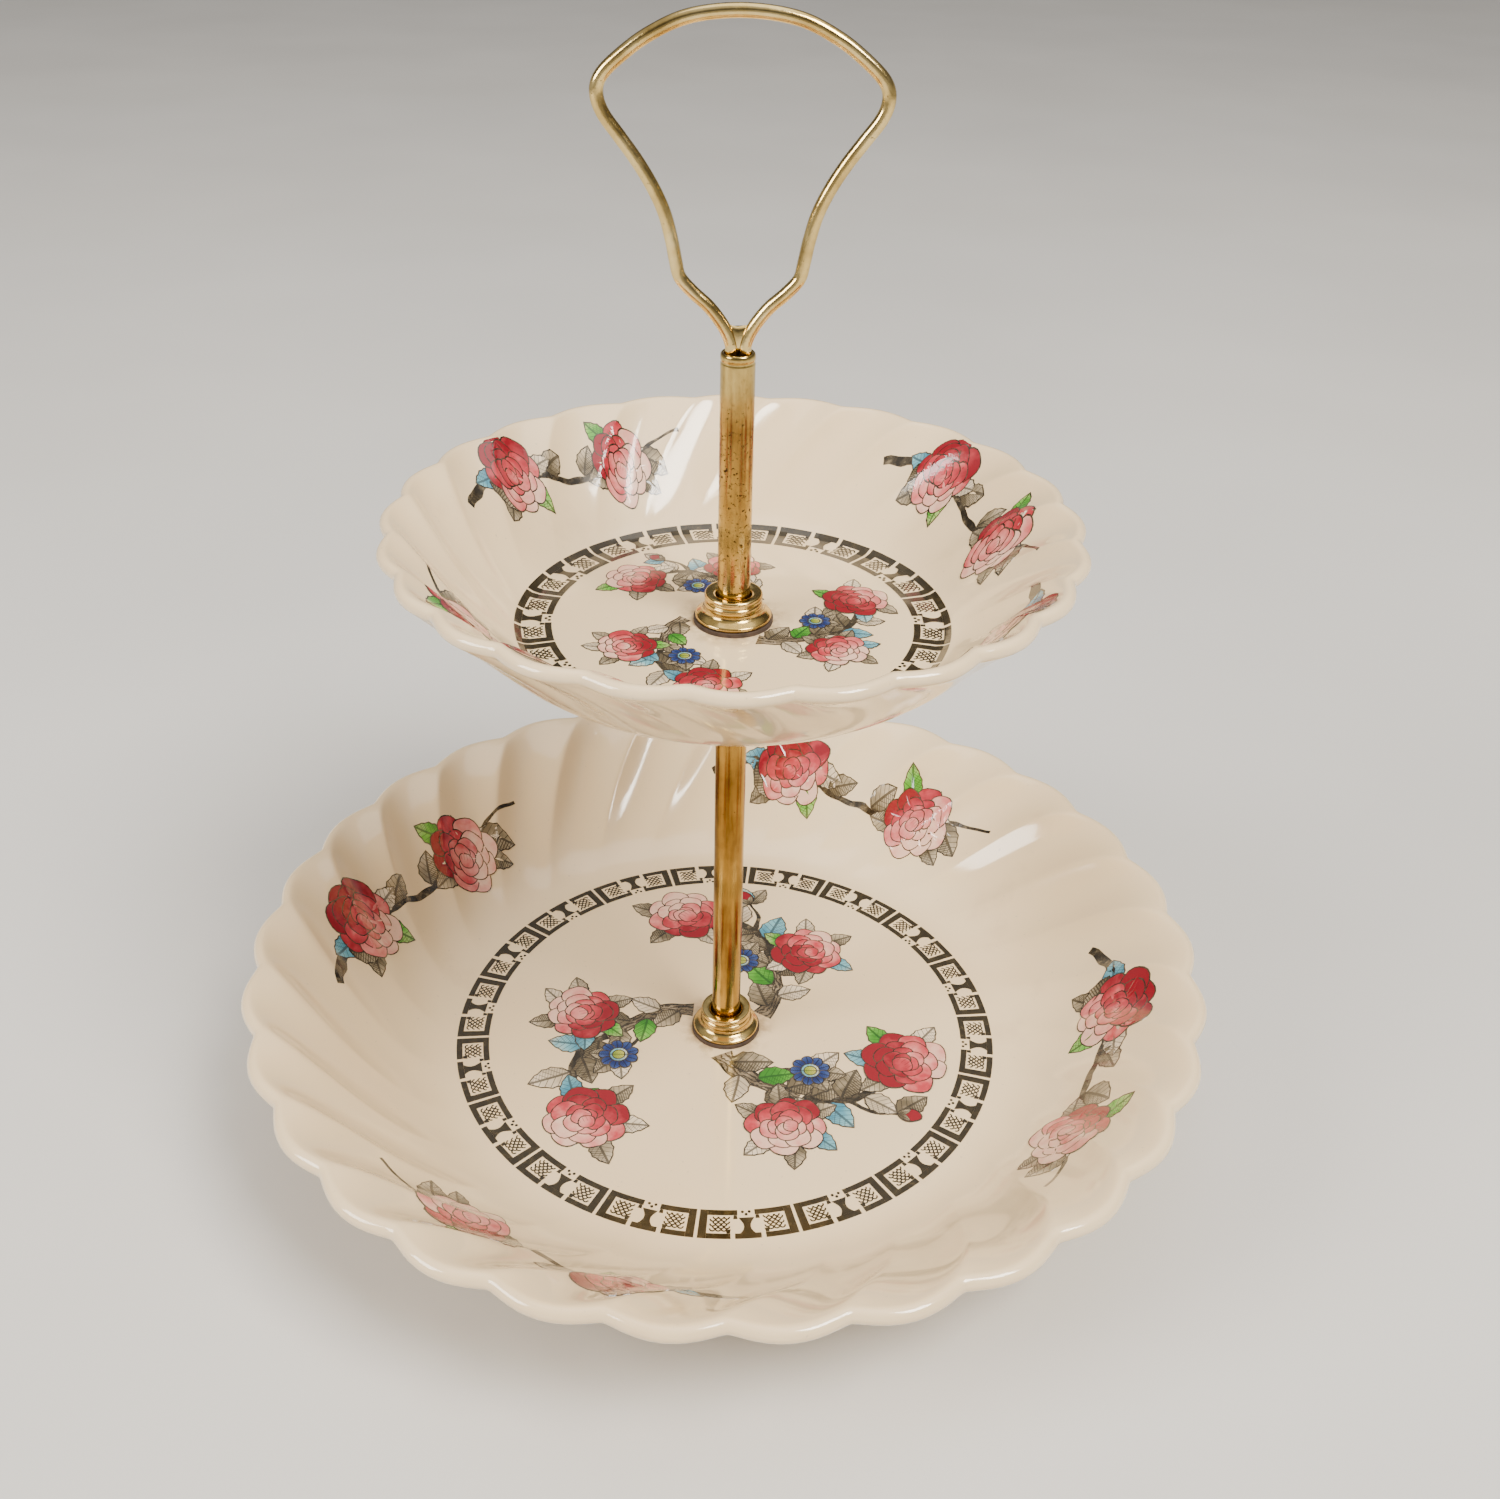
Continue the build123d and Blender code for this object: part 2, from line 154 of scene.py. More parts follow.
def bowl_section(bowl):
    """Closed section from the hole's edge over the inside, the lip and the outside, back to the hole.
    Each row is (radius, height, way): way steers the flutes and the twist."""
    edge = HOLE_R + HOLE_ROUND
    rows = [(HOLE_R, bowl.floor - HOLE_ROUND, 0), (HOLE_R + 0.15, bowl.floor - 0.15, 0), (edge, bowl.floor, 0)]
    for index in range(1, FLOOR_ROWS):
        rows.append((edge + (bowl.well - HOLE_R - HOLE_ROUND) * index / FLOOR_ROWS, bowl.floor, 0))
    for index in range(SIDE_ROWS + 1):
        way = index / SIDE_ROWS
        radius, height, _ = bowl.side(way)
        rows.append((radius, height, way))
    half = bowl.wall / 2
    centre_r = bowl.rim - half
    centre_z = bowl.top - half
    for index in range(1, LIP_ROWS):
        turn = bowl.lip_slope + math.pi / 2 - math.pi * index / LIP_ROWS
        rows.append((centre_r + half * math.cos(turn), centre_z + half * math.sin(turn), 1))
    for index in range(SIDE_ROWS, -1, -1):
        way = index / SIDE_ROWS
        radius, height, slope = bowl.side(way)
        thick = bowl.thickness + (bowl.wall - bowl.thickness) * way
        rows.append((radius + thick * math.sin(slope), height - thick * math.cos(slope), way))
    under = bowl.floor - bowl.thickness
    outer = bowl.foot_r
    inner = bowl.foot_r - bowl.foot_width
    drop = bowl.base
    bend = 0.8
    rows += [(outer + bend, under, 0), (outer + 0.25 * bend, under - 0.25 * bend, 0)]
    rows += [(outer, under - bend, 0)]
    rows += [(outer - 0.3, drop + bend, 0), (outer - 0.6, drop + 0.25, 0), (outer - 1.1, drop, 0)]
    rows += [(inner + 1.1, drop, 0), (inner + 0.5, drop + 0.25, 0), (inner + 0.1, drop + bend, 0)]
    rows += [(inner, under - bend, 0)]
    rows += [(inner - 0.25 * bend, under - 0.25 * bend, 0), (inner - bend, under, 0)]
    for index in range(1, 5):
        rows.append((inner - bend + (HOLE_R + 0.4 - inner + bend) * index / 4, under, 0))
    rows += [(HOLE_R, under + 0.4, 0)]
    return rows


# ------------------------------------------------------------------ making pieces


def new_piece(name, points, faces, materials, smooth=True):
    """A mesh object made of points in millimetres."""
    mesh = bpy.data.meshes.new(name)
    mesh.from_pydata([(x * MM, y * MM, z * MM) for x, y, z in points], [], faces)
    for material in materials:
        mesh.materials.append(material)
    if smooth:
        mesh.shade_smooth()
    piece = bpy.data.objects.new(name, mesh)
    bpy.context.scene.collection.objects.link(piece)
    return piece


def belong(piece, body, slot, *nodes):
    """Lets a finished piece ride on its body and stand for its nodes."""
    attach(piece, body)
    if nodes:
        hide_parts(*nodes)
    return piece


def node_group(name, inputs):
    """A Geometry Nodes tree with named inputs after its geometry."""
    tree = bpy.data.node_groups.new(name, "GeometryNodeTree")
    tree.interface.new_socket("Geometry", in_out="INPUT", socket_type="NodeSocketGeometry")
    for label, kind in inputs:
        tree.interface.new_socket(label, in_out="INPUT", socket_type="NodeSocket" + kind)
    tree.interface.new_socket("Geometry", in_out="OUTPUT", socket_type="NodeSocketGeometry")
    return tree, tree.nodes.new("NodeGroupInput"), tree.nodes.new("NodeGroupOutput")


def copies_round_stem():
    """Tree that sets copies of a sector round the stem and joins them."""
    tree, given, result = node_group(
        "Copies_round_stem",
        (("Count", "Int"), ("Start Angle", "Float"), ("Join Distance", "Float"), ("Finish", "Material")),
    )
    new = tree.nodes.new
    link = tree.links.new
    places = new("GeometryNodePoints")
    index = new("GeometryNodeInputIndex")
    step = new("ShaderNodeMath")
    step.operation = "DIVIDE"
    step.inputs[0].default_value = 2 * math.pi
    turn = new("ShaderNodeMath")
    turn.operation = "MULTIPLY_ADD"
    axis = new("ShaderNodeCombineXYZ")
    rotation = new("FunctionNodeEulerToRotation")
    copies = new("GeometryNodeInstanceOnPoints")
    real = new("GeometryNodeRealizeInstances")
    merge = new("GeometryNodeMergeByDistance")
    finish = new("GeometryNodeSetMaterial")
    link(given.outputs["Count"], places.inputs["Count"])
    link(given.outputs["Count"], step.inputs[1])
    link(index.outputs[0], turn.inputs[0])
    link(step.outputs[0], turn.inputs[1])
    link(given.outputs["Start Angle"], turn.inputs[2])
    link(turn.outputs[0], axis.inputs["Z"])
    link(axis.outputs[0], rotation.inputs[0])
    link(places.outputs[0], copies.inputs["Points"])
    link(given.outputs["Geometry"], copies.inputs["Instance"])
    link(rotation.outputs[0], copies.inputs["Rotation"])
    link(copies.outputs[0], real.inputs["Geometry"])
    link(real.outputs[0], merge.inputs["Geometry"])
    link(given.outputs["Join Distance"], merge.inputs["Distance"])
    link(merge.outputs[0], finish.inputs["Geometry"])
    link(given.outputs["Finish"], finish.inputs["Material"])
    link(finish.outputs[0], result.inputs[0])
    return tree


def wire_along_curve():
    """Tree that draws a round wire along a curve."""
    tree, given, result = node_group(
        "Wire_along_curve",
        (("Wire Radius", "Float"), ("Sides", "Int"), ("Step", "Float"), ("Finish", "Material")),
    )
    new = tree.nodes.new
    link = tree.links.new
    even = new("GeometryNodeResampleCurve")
    even.mode = "LENGTH"
    circle = new("GeometryNodeCurvePrimitiveCircle")
    wire = new("GeometryNodeCurveToMesh")
    wire.inputs["Fill Caps"].default_value = True
    smooth = new("GeometryNodeSetShadeSmooth")
    real = new("GeometryNodeRealizeInstances")
    finish = new("GeometryNodeSetMaterial")
    link(given.outputs["Geometry"], even.inputs["Curve"])
    link(given.outputs["Step"], even.inputs["Length"])
    link(given.outputs["Wire Radius"], circle.inputs["Radius"])
    link(given.outputs["Sides"], circle.inputs["Resolution"])
    link(even.outputs[0], wire.inputs["Curve"])
    link(circle.outputs[0], wire.inputs["Profile Curve"])
    link(wire.outputs[0], smooth.inputs["Geometry"])
    link(smooth.outputs[0], real.inputs["Geometry"])
    link(real.outputs[0], finish.inputs["Geometry"])
    link(given.outputs["Finish"], finish.inputs["Material"])
    link(finish.outputs[0], result.inputs[0])
    return tree


def grown(name, source, tree, values):
    """Runs a tree on an object and keeps the result as a plain mesh object."""
    modifier = source.modifiers.new("Grow", "NODES")
    modifier.node_group = tree
    for item in tree.interface.items_tree:
        if item.item_type == "SOCKET" and item.in_out == "INPUT" and item.name in values:
            modifier[item.identifier] = values[item.name]
    state = bpy.context.evaluated_depsgraph_get()
    solved = source.evaluated_get(state)
    mesh = bpy.data.meshes.new_from_object(solved, preserve_all_data_layers=True, depsgraph=state)
    mesh.name = name
    source.modifiers.clear()
    bpy.data.objects.remove(source)
    piece = bpy.data.objects.new(name, mesh)
    bpy.context.scene.collection.objects.link(piece)
    return piece


JOIN = 0.000004
APART = 0.0000001
COPIES = copies_round_stem()
WIRE = wire_along_curve()


def make_bowl(name, bowl, material):
    """One lobe's sector, copied round the stem."""
    rows = bowl_section(bowl)
    columns = SECTOR_COLUMNS
    points = []
    inside = 3 + FLOOR_ROWS + SIDE_ROWS
    for row, (radius, height, way) in enumerate(rows):
        twist = bowl.notch_angle + SWIRL * (1 - way)
        for column in range(columns + 1):
            share = column / columns
            share -= 0.5 * math.sin(2 * math.pi * share) / (2 * math.pi)
            angle = 2 * math.pi * share / bowl.lobes + twist
            r = radius - bowl.flute(way, angle)
            lift = bowl.ridge(way, angle) if row < inside else 0
            points.append((r * math.cos(angle), r * math.sin(angle), height + lift))
    faces = []
    width = columns + 1
    for row in range(len(rows)):
        near = row * width
        far = (row + 1) % len(rows) * width
        for column in range(columns):
            faces.append((near + column, far + column, far + column + 1, near + column + 1))
    sector = new_piece(name + "_sector", points, faces, [material])
    values = {"Count": bowl.lobes, "Start Angle": 0.0, "Join Distance": JOIN, "Finish": material}
    piece = grown(name, sector, COPIES, values)
    piece.data.shade_smooth()
    return belong(piece, bowl.body, "ivory_glaze", bowl.node)


def turned(name, profile, material, sides):
    """A closed profile of (radius, height) turned round the stem, in anticlockwise order."""
    points = []
    for radius, height in profile:
        for side in range(sides):
            angle = 2 * math.pi * side / sides
            points.append((radius * math.cos(angle), radius * math.sin(angle), height))
    faces = []
    count = len(profile)
    for row in range(count):
        near = row * sides
        far = (row + 1) % count * sides
        for side in range(sides):
            beside = (side + 1) % sides
            faces.append((near + side, near + beside, far + beside, far + side))
    return new_piece(name, points, faces, [material])


def rounded(profile, corners, steps):
    """Rounds the corners of a closed profile: corners gives each corner's radius, 0 keeps it sharp."""
    result = []
    count = len(profile)
    for index, (corner, radius) in enumerate(zip(profile, corners)):
        here = Vector(corner)
        before = Vector(profile[index - 1]) - here
        after = Vector(profile[(index + 1) % count]) - here
        reach = min(radius, before.length * 0.48, after.length * 0.48)
        if reach <= 0:
            result.append(tuple(here))
            continue
        start = here + before.normalized() * reach
        end = here + after.normalized() * reach
        for step in range(steps + 1):
            share = step / steps
            result.append(tuple(start * (1 - share) ** 2 + here * 2 * share * (1 - share) + end * share**2))
    return result


def through(points, step):
    """Points about a step apart on a smooth curve through the given ones, any number of values each."""
    result = []
    last = len(points) - 1
    for index in range(last):
        before = points[max(index - 1, 0)]
        start = points[index]
        end = points[index + 1]
        after = points[min(index + 2, last)]
        count = max(2, round(math.dist(start[:2], end[:2]) / step))
        for part in range(count):
            t = part / count
            row = []
            for a, b, c, d in zip(before, start, end, after):
                bend = 2 * a - 5 * b + 4 * c - d + t * (3 * (b - c) + d - a)
                row.append(b + 0.5 * t * (c - a + t * bend))
            result.append(tuple(row))
    result.append(tuple(points[-1]))
    return result


# ------------------------------------------------------------------ the print's parts
# The print is laid as thin closed slabs that follow the bowl's inside. A design is drawn flat, in
# millimetres, and a chart lays it on the plan. A slab's underside lies just inside the glaze.

UNDERSIDE = -0.03
MIDDLE_TONE = 0.5


def flat_chart(x, y):
    return x, y


def arc_chart(centre, radius, size_x=1.0, size_y=1.0):
    """Chart of an arc round the stem: x runs clockwise from the centre's angle and y outwards."""

    def place(x, y):
        angle = math.radians(centre) - x * size_x / radius
        r = radius + y * size_y
        return r * math.cos(angle), r * math.sin(angle)

    return place


class Print:
    """Ink patches of one bowl, gathered for one piece."""

    def __init__(
        self, bowl, chart=flat_chart, rings=(0.0, 1.0), line=0.2, level=0.03, gap=0.0009, cycle=1000
    ):
        self.bowl = bowl
        self.level = level
        self.gap = gap
        self.cycle = cycle
        self.count = 0
        self.chart = chart
        self.rings = rings
        self.line = line
        self.points = []
        self.faces = []
        self.inks = []
        self.uvs = []
        self.tones = []
        self.used = []

    def ink(self, material):
        if material not in self.used:
            self.used.append(material)
        return self.used.index(material)

    def point(self, x, y, lift, uv, tone):
        plan_x, plan_y = self.chart(x, y)
        self.points.append(self.bowl.lifted(plan_x, plan_y, lift))
        self.uvs.append(uv)
        self.tones.append(tone)
        return len(self.points) - 1

    def face(self, corners, ink):
        self.faces.append(corners)
        self.inks.append(ink)

    def next_level(self):
        """Each patch lies a hair above the one before it, over and over in a short cycle on a curved side."""
        self.count += 1
        return self.level + self.gap * (self.count % self.cycle)

    def patch(self, at, turn, outline, length, bend, material, tone, line=None, lift=None):
        """A filled shape with a drawn edge. Its outline is anticlockwise, from (0, 0) out along y."""
        line = self.line if line is None else line
        lift = self.next_level() if lift is None else lift
        cos_t = math.cos(turn)
        sin_t = math.sin(turn)
        width = max(abs(x) for x, y in outline)
        edge = self.ink(edge_ink)
        fill = self.ink(material)
        inset = []
        for x, y in outline:
            share = min(max(y / length, 0.25), 0.75)
            goal_x = bend * share**2
            goal_y = share * length
            reach = max(math.dist((x, y), (goal_x, goal_y)), 0.05)
            inset.append((goal_x, goal_y, min(line / reach, 0.6)))

        def ring(amount, extra, height):
            row = []
            for (x, y), (goal_x, goal_y, start) in zip(outline, inset):
                share = start * extra + (1 - start * extra) * amount
                px = x + (goal_x - x) * share
                py = y + (goal_y - y) * share
                uv = (0.5 + 0.5 * (px - bend * (py / length) ** 2) / width, py / length)
                spot = (at[0] + px * sin_t + py * cos_t, at[1] - px * cos_t + py * sin_t)
                row.append(self.point(*spot, height, uv, tone))
            return row

        rows = [ring(0, 0, lift)]
        rows += [ring(amount, 1, lift) for amount in self.rings[:-1]]
        under = [ring(0, 0, UNDERSIDE)] + [ring(amount, 1, UNDERSIDE) for amount in self.rings[1:-1]]
        count = len(outline)
        for index in range(count):
            beside = (index + 1) % count
            for place, (out, into) in enumerate(zip(rows, rows[1:])):
                self.face((out[index], out[beside], into[beside], into[index]), fill if place else edge)
            for out, into in zip(under, under[1:]):
                self.face((out[index], into[index], into[beside], out[beside]), fill)
            self.face((under[0][index], under[0][beside], rows[0][beside], rows[0][index]), edge)
        self.face(tuple(rows[-1]), fill)
        self.face(tuple(reversed(under[-1])), fill)

    def ribbon(self, line, material, step=1.0, edged=False):
        """A stroke along points of (x, y, width)."""
        track = through(line, step)
        lift = self.next_level()
        ink = self.ink(material)
        edge = self.ink(edge_ink)
        rows = []
        run = 0.0
        wide = max(row[2] for row in track) > 0.9
        for index, (x, y, width) in enumerate(track):
            ahead = track[min(index + 1, len(track) - 1)]
            behind = track[max(index - 1, 0)]
            size = max(math.dist(ahead[:2], behind[:2]), 0.0001)
            side_x = (ahead[1] - behind[1]) / size
            side_y = (behind[0] - ahead[0]) / size
            if index:
                run += math.dist((x, y), track[index - 1][:2])
            half = max(width, 0.12) / 2
            drawn = min(self.line, half * 0.5)
            if edged:
                spots = (half, half - drawn, -half + drawn, -half)
            elif wide:
                spots = (half, 0.5 * half, 0, -0.5 * half, -half)
            else:
                spots = (half, 0, -half)
            row = []
            for spot, height in [(spot, lift) for spot in spots] + [(-half, UNDERSIDE), (half, UNDERSIDE)]:
                uv = (0.5 + 0.5 * spot / half, run / 10)
                row.append(self.point(x + side_x * spot, y + side_y * spot, height, uv, MIDDLE_TONE))
            rows.append(row)
        size = len(rows[0])
        for near, far in zip(rows, rows[1:]):
            for index in range(size):
                beside = (index + 1) % size
                side_ink = ink if not edged or index == 1 else edge
                self.face((near[index], far[index], far[beside], near[beside]), side_ink)
        self.face(tuple(rows[0]), edge if edged else ink)
        self.face(tuple(reversed(rows[-1])), edge if edged else ink)

    def piece(self, name, body=None):
        result = new_piece(name, self.points, self.faces, self.used, smooth=False)
        mesh = result.data
        mesh.polygons.foreach_set("material_index", self.inks)
        layer = mesh.uv_layers.new(name="UVMap")
        values = []
        for loop in mesh.loops:
            values += self.uvs[loop.vertex_index]
        layer.data.foreach_set("uv", values)
        tone = mesh.attributes.new("tone", "FLOAT", "POINT")
        tone.data.foreach_set("value", self.tones)
        if body:
            belong(result, body, "ivory_glaze")
        return result


def leaf_outline(length, half, bend, teeth=0.0):
    """Pointed oval, anticlockwise from its stalk, with toothed edges where teeth is above 0."""
    right = []
    left = []
    count = 9
    for index in range(1, count):
        share = index / count
        width = half * math.sin(math.pi * share**0.8) ** 0.85
        width *= 1 + teeth * (1 if index % 2 else -1)
        centre = bend * share**2
        right.append((centre + width, share * length))
        left.append((centre - width, share * length))
    return [(0, 0)] + right + [(bend, length)] + left[::-1]


def petal_outline(length, half, wave, start):
    """Rounded petal, anticlockwise, with a soft wavy edge."""
    result = []
    for index in range(20):
        angle = 2 * math.pi * index / 20
        reach = 1 + wave * math.cos(4 * angle + start)
        result.append((half * reach * math.cos(angle), length / 2 + length / 2 * reach * math.sin(angle)))
    return result


def leaf(sheet, x, y, turn, length, material, half, bend, teeth, tone):
    """A leaf: half its width, its bend and its teeth are shares of its length or width."""
    shape = leaf_outline(length, length * half, length * bend, teeth)
    sheet.patch((x, y), math.radians(turn), shape, length, length * bend, material, tone)


# Rows of a peony from the outside in: how many petals, how far they reach and how large each is.
PEONY_ROWS = ((8, 0.64, 0.36), (7, 0.44, 0.31), (5, 0.25, 0.27), (3, 0.11, 0.22))
PEONY_LEVELS = 3 * len(PEONY_ROWS)
STAR_PETALS = 9


def peony(sheet, x, y, size, facing, deep, seed):
    """A full flower of rounded petals in rows, deeper in colour on the side that it faces."""
    chance = random.Random(seed)
    base = sheet.next_level()
    for row, (count, row_reach, row_petal) in enumerate(PEONY_ROWS):
        start = chance.uniform(0, 6.28)
        for index in range(count):
            way = start + 2 * math.pi * (index + chance.uniform(-0.14, 0.14)) / count
            reach = row_reach * chance.uniform(0.92, 1.08)
            petal = row_petal * chance.uniform(0.88, 1.14)
            foot = (reach - petal) * size
            spot = (x + foot * math.cos(way) * 1.08, y + foot * math.sin(way) * 0.94)
            side = math.cos(way - math.radians(facing))
            tone = deep + 0.55 * side * reach / PEONY_ROWS[0][1] + chance.uniform(-0.09, 0.09)
            wave = chance.uniform(0.02, 0.055)
            shape = petal_outline(2 * petal * size, petal * size * 1.06, wave, chance.uniform(0, 6))
            layer = 3 * row + (2 if index == count - 1 else index % 2)
            lift = base + sheet.gap * layer
            sheet.patch(spot, way, shape, 2 * petal * size, 0, petal_ink, min(max(tone, 0), 1), lift=lift)
    sheet.count += PEONY_LEVELS


def star_flower(sheet, x, y, size):
    """A round blue flower with a yellow-green heart."""
    for index in range(STAR_PETALS):
        way = math.radians(360 * (index + 0.5) / STAR_PETALS)
        shape = petal_outline(size * 0.66, size * 0.3, 0.02, index)
        spot = (x + 0.34 * size * math.cos(way), y + 0.34 * size * math.sin(way))
        sheet.patch(spot, way, shape, size * 0.66, 0, navy_ink, 0.3 + 0.06 * (index % 4))
    ring = petal_outline(size * 0.96, size * 0.48, 0.0, 0)
    sheet.patch((x - 0.48 * size, y), 0, ring, size * 0.96, 0, sky_ink, 0.4)
    heart = petal_outline(size * 0.66, size * 0.33, 0.0, 0)
    sheet.patch((x - 0.33 * size, y), 0, heart, size * 0.66, 0, heart_ink, 0.5)


def bud(sheet, x, y, turn, size):
    """A red bud between two sepals."""
    way = math.radians(turn)
    sheet.patch((x, y), way, petal_outline(size, size * 0.36, 0.03, 1), size, 0, petal_ink, 0.95)
    for side in (-1, 1):
        shape = leaf_outline(size * 0.62, size * 0.14, side * size * -0.1)
        sheet.patch((x, y), way + side * 0.35, shape, size * 0.62, side * size * -0.1, grey_ink, 0.8, 0.12)


def twig(sheet, line, seed):
    """A knotty stem: its width and its way wander a little."""
    chance = random.Random(seed)
    track = through(line, 1.9)
    knotty = []
    for x, y, width in track:
        sway = 0.16 * width
        wide = width * chance.uniform(0.72, 1.34)
        knotty.append((x + chance.uniform(-sway, sway), y + chance.uniform(-sway, sway), wide))
    sheet.ribbon(knotty, stem_ink)


def trunk(sheet, line, seed):
    """A thick gnarled trunk with a drawn edge, bark strokes and knots."""
    chance = random.Random(seed)
    track = through(line, 2.6)
    knotty = [(x, y, width * chance.uniform(0.8, 1.22)) for x, y, width in track]
    sheet.ribbon(knotty, bark_ink, edged=True, step=0.8)
    for index in range(1, len(track) - 2, 2):
        x, y, width = track[index]
        ahead = track[index + 1]
        way = math.atan2(ahead[1] - y, ahead[0] - x) + chance.uniform(-0.3, 0.3)
        off = chance.uniform(-0.28, 0.28) * width
        start = (x - off * math.sin(way), y + off * math.cos(way))
        long = width * chance.uniform(0.5, 0.9)
        end = (start[0] + long * math.cos(way), start[1] + long * math.sin(way))
        sheet.ribbon([(*start, 0.16), (*end, 0.42)], stem_ink)


# ------------------------------------------------------------------ finishes


class Nodes:
    """Short way to build a node material."""

    def __init__(self, name, roughness=0.3, metallic=0.0, glossy=False):
        self.material = bpy.data.materials.new(name)
        self.material.use_nodes = True
        self.tree = self.material.node_tree
        self.shader = self.tree.nodes["Principled BSDF"]
        self.shader.inputs["Roughness"].default_value = roughness
        self.shader.inputs["Metallic"].default_value = metallic
        if glossy:
            self.shader.inputs["Coat Weight"].default_value = 0.7
            self.shader.inputs["Coat Roughness"].default_value = 0.06

    def add(self, kind, **settings):
        node = self.tree.nodes.new("ShaderNode" + kind)
        for key, value in settings.items():
            setattr(node, key, value)
        return node

    def link(self, output, target):
        self.tree.links.new(output, target)

    def place(self, stretch=None, move=None):
        spot = self.add("TexCoord").outputs["Object"]
        if stretch is None and move is None:
            return spot
        node = self.add("Mapping")
        node.inputs["Scale"].default_value = stretch or (1, 1, 1)
        node.inputs["Location"].default_value = move or (0, 0, 0)
        self.link(spot, node.inputs["Vector"])
        return node.outputs[0]

    def patch(self):
        """Across and along values of a printed patch."""
        node = self.add("SeparateXYZ")
        self.link(self.add("TexCoord").outputs["UV"], node.inputs[0])
        return node.outputs["X"], node.outputs["Y"]

    def tone(self):
        return self.add("Attribute", attribute_name="tone").outputs["Fac"]

    def noise(self, scale, detail, rough=0.5, source=None):
        node = self.add("TexNoise")
        node.inputs["Scale"].default_value = scale
        node.inputs["Detail"].default_value = detail
        node.inputs["Roughness"].default_value = rough
        self.link(source or self.place(), node.inputs["Vector"])
        return node.outputs["Fac"]

    def ramp(self, value, stops):
        node = self.add("ValToRGB")
        ramp = node.color_ramp
        while len(ramp.elements) < len(stops):
            ramp.elements.new(0.5)
        for element, (at, colour) in zip(ramp.elements, stops):
            element.position = at
            element.color = (*colour, 1)
        self.link(value, node.inputs["Fac"])
        return node.outputs["Color"]

    def math(self, operation, first, second=0.5, third=0.0):
        node = self.add("Math", operation=operation)
        for socket, value in zip(node.inputs, (first, second, third)):
            if isinstance(value, (int, float)):
                socket.default_value = value
            else:
                self.link(value, socket)
        return node.outputs["Value"]

    def span(self, value, low, high, to_low=0.0, to_high=1.0):
        node = self.add("MapRange")
        node.inputs["From Min"].default_value = low
        node.inputs["From Max"].default_value = high
        node.inputs["To Min"].default_value = to_low
        node.inputs["To Max"].default_value = to_high
        self.link(value, node.inputs["Value"])
        return node.outputs["Result"]

    def strokes(self, value, count, share):
        """Thin strokes: count of them over a value of 1, each taking a share of its step."""
        part = self.math("FRACT", self.math("MULTIPLY", value, float(count)))
        return self.math("LESS_THAN", part, share)

    def mix(self, amount, first, second):
        node = self.add("Mix", data_type="RGBA", blend_type="MIX")
        for socket, value in ((node.inputs[0], amount), (node.inputs[6], first), (node.inputs[7], second)):
            if isinstance(value, (int, float)):
                socket.default_value = value
            elif isinstance(value, tuple):
                socket.default_value = (*value, 1)
            else:
                self.link(value, socket)
        return node.outputs[2]

    def colour(self, value):
        self.link(value, self.shader.inputs["Base Color"])

    def roughness(self, value):
        self.link(value, self.shader.inputs["Roughness"])

    def bump(self, value, distance, strength):
        node = self.add("Bump")
        node.inputs["Distance"].default_value = distance
        node.inputs["Strength"].default_value = strength
        self.link(value, node.inputs["Height"])
        self.link(node.outputs["Normal"], self.shader.inputs["Normal"])


IVORY = (0.885, 0.69, 0.425)
LINE = (0.022, 0.016, 0.009)


def ivory_glaze(name, bowl):
    """Warm ivory earthenware under a glossy glaze, bare on the foot ring, stained by the stem."""
    n = Nodes(name, glossy=True)
    tone = n.ramp(n.noise(16, 3), [(0.3, (0.84, 0.63, 0.37)), (0.7, IVORY)])
    speck = n.span(n.noise(1100, 1), 0.74, 0.80, 0.0, 0.35)
    tone = n.mix(speck, tone, (0.52, 0.40, 0.27))
    spot = n.add("SeparateXYZ")
    n.link(n.place(), spot.inputs[0])
    flat = n.math("POWER", spot.outputs["X"], 2.0)
    reach = n.math("SQRT", n.math("ADD", flat, n.math("POWER", spot.outputs["Y"], 2.0)))
    near = n.span(reach, 0.0075, 0.0125, 0.9, 0.0)
    stain = n.math("MULTIPLY", near, n.span(n.noise(260, 4, 0.6), 0.40, 0.62))
    tone = n.mix(stain, tone, (0.42, 0.27, 0.13))
    tea = n.span(n.noise(38, 5, 0.6, n.place(move=(0.31, 0.12, 0.0))), 0.62, 0.74, 0.0, 0.28)
    tone = n.mix(tea, tone, (0.60, 0.42, 0.25))
    bare = n.span(spot.outputs["Z"], (bowl.base + 0.55) * MM, (bowl.base + 0.35) * MM)
    grit = n.ramp(n.noise(900, 4), [(0.35, (0.50, 0.42, 0.31)), (0.65, (0.66, 0.58, 0.46))])
    n.colour(n.mix(bare, tone, grit))
    gloss = n.span(n.noise(120, 3), 0.3, 0.7, 0.10, 0.17)
    n.roughness(n.math("MAXIMUM", gloss, n.math("MULTIPLY", bare, 0.75)))
    n.bump(n.noise(70, 2), 0.00006, 0.5)
    return n.material


def drawn_edge():
    n = Nodes("print_drawn_edge", glossy=True, roughness=0.14)
    n.colour(n.ramp(n.noise(700, 3, 0.6), [(0.40, LINE), (0.75, (0.10, 0.075, 0.045))]))
    return n.material


def stem_wash():
    """Dark brown stem, lighter in short streaks along it."""
    n = Nodes("print_stem", glossy=True, roughness=0.14)
    streak = n.noise(420, 4, 0.65)
    stops = [(0.40, (0.018, 0.013, 0.007)), (0.56, (0.055, 0.042, 0.024)), (0.72, (0.24, 0.185, 0.11))]
    n.colour(n.ramp(streak, stops))
    return n.material


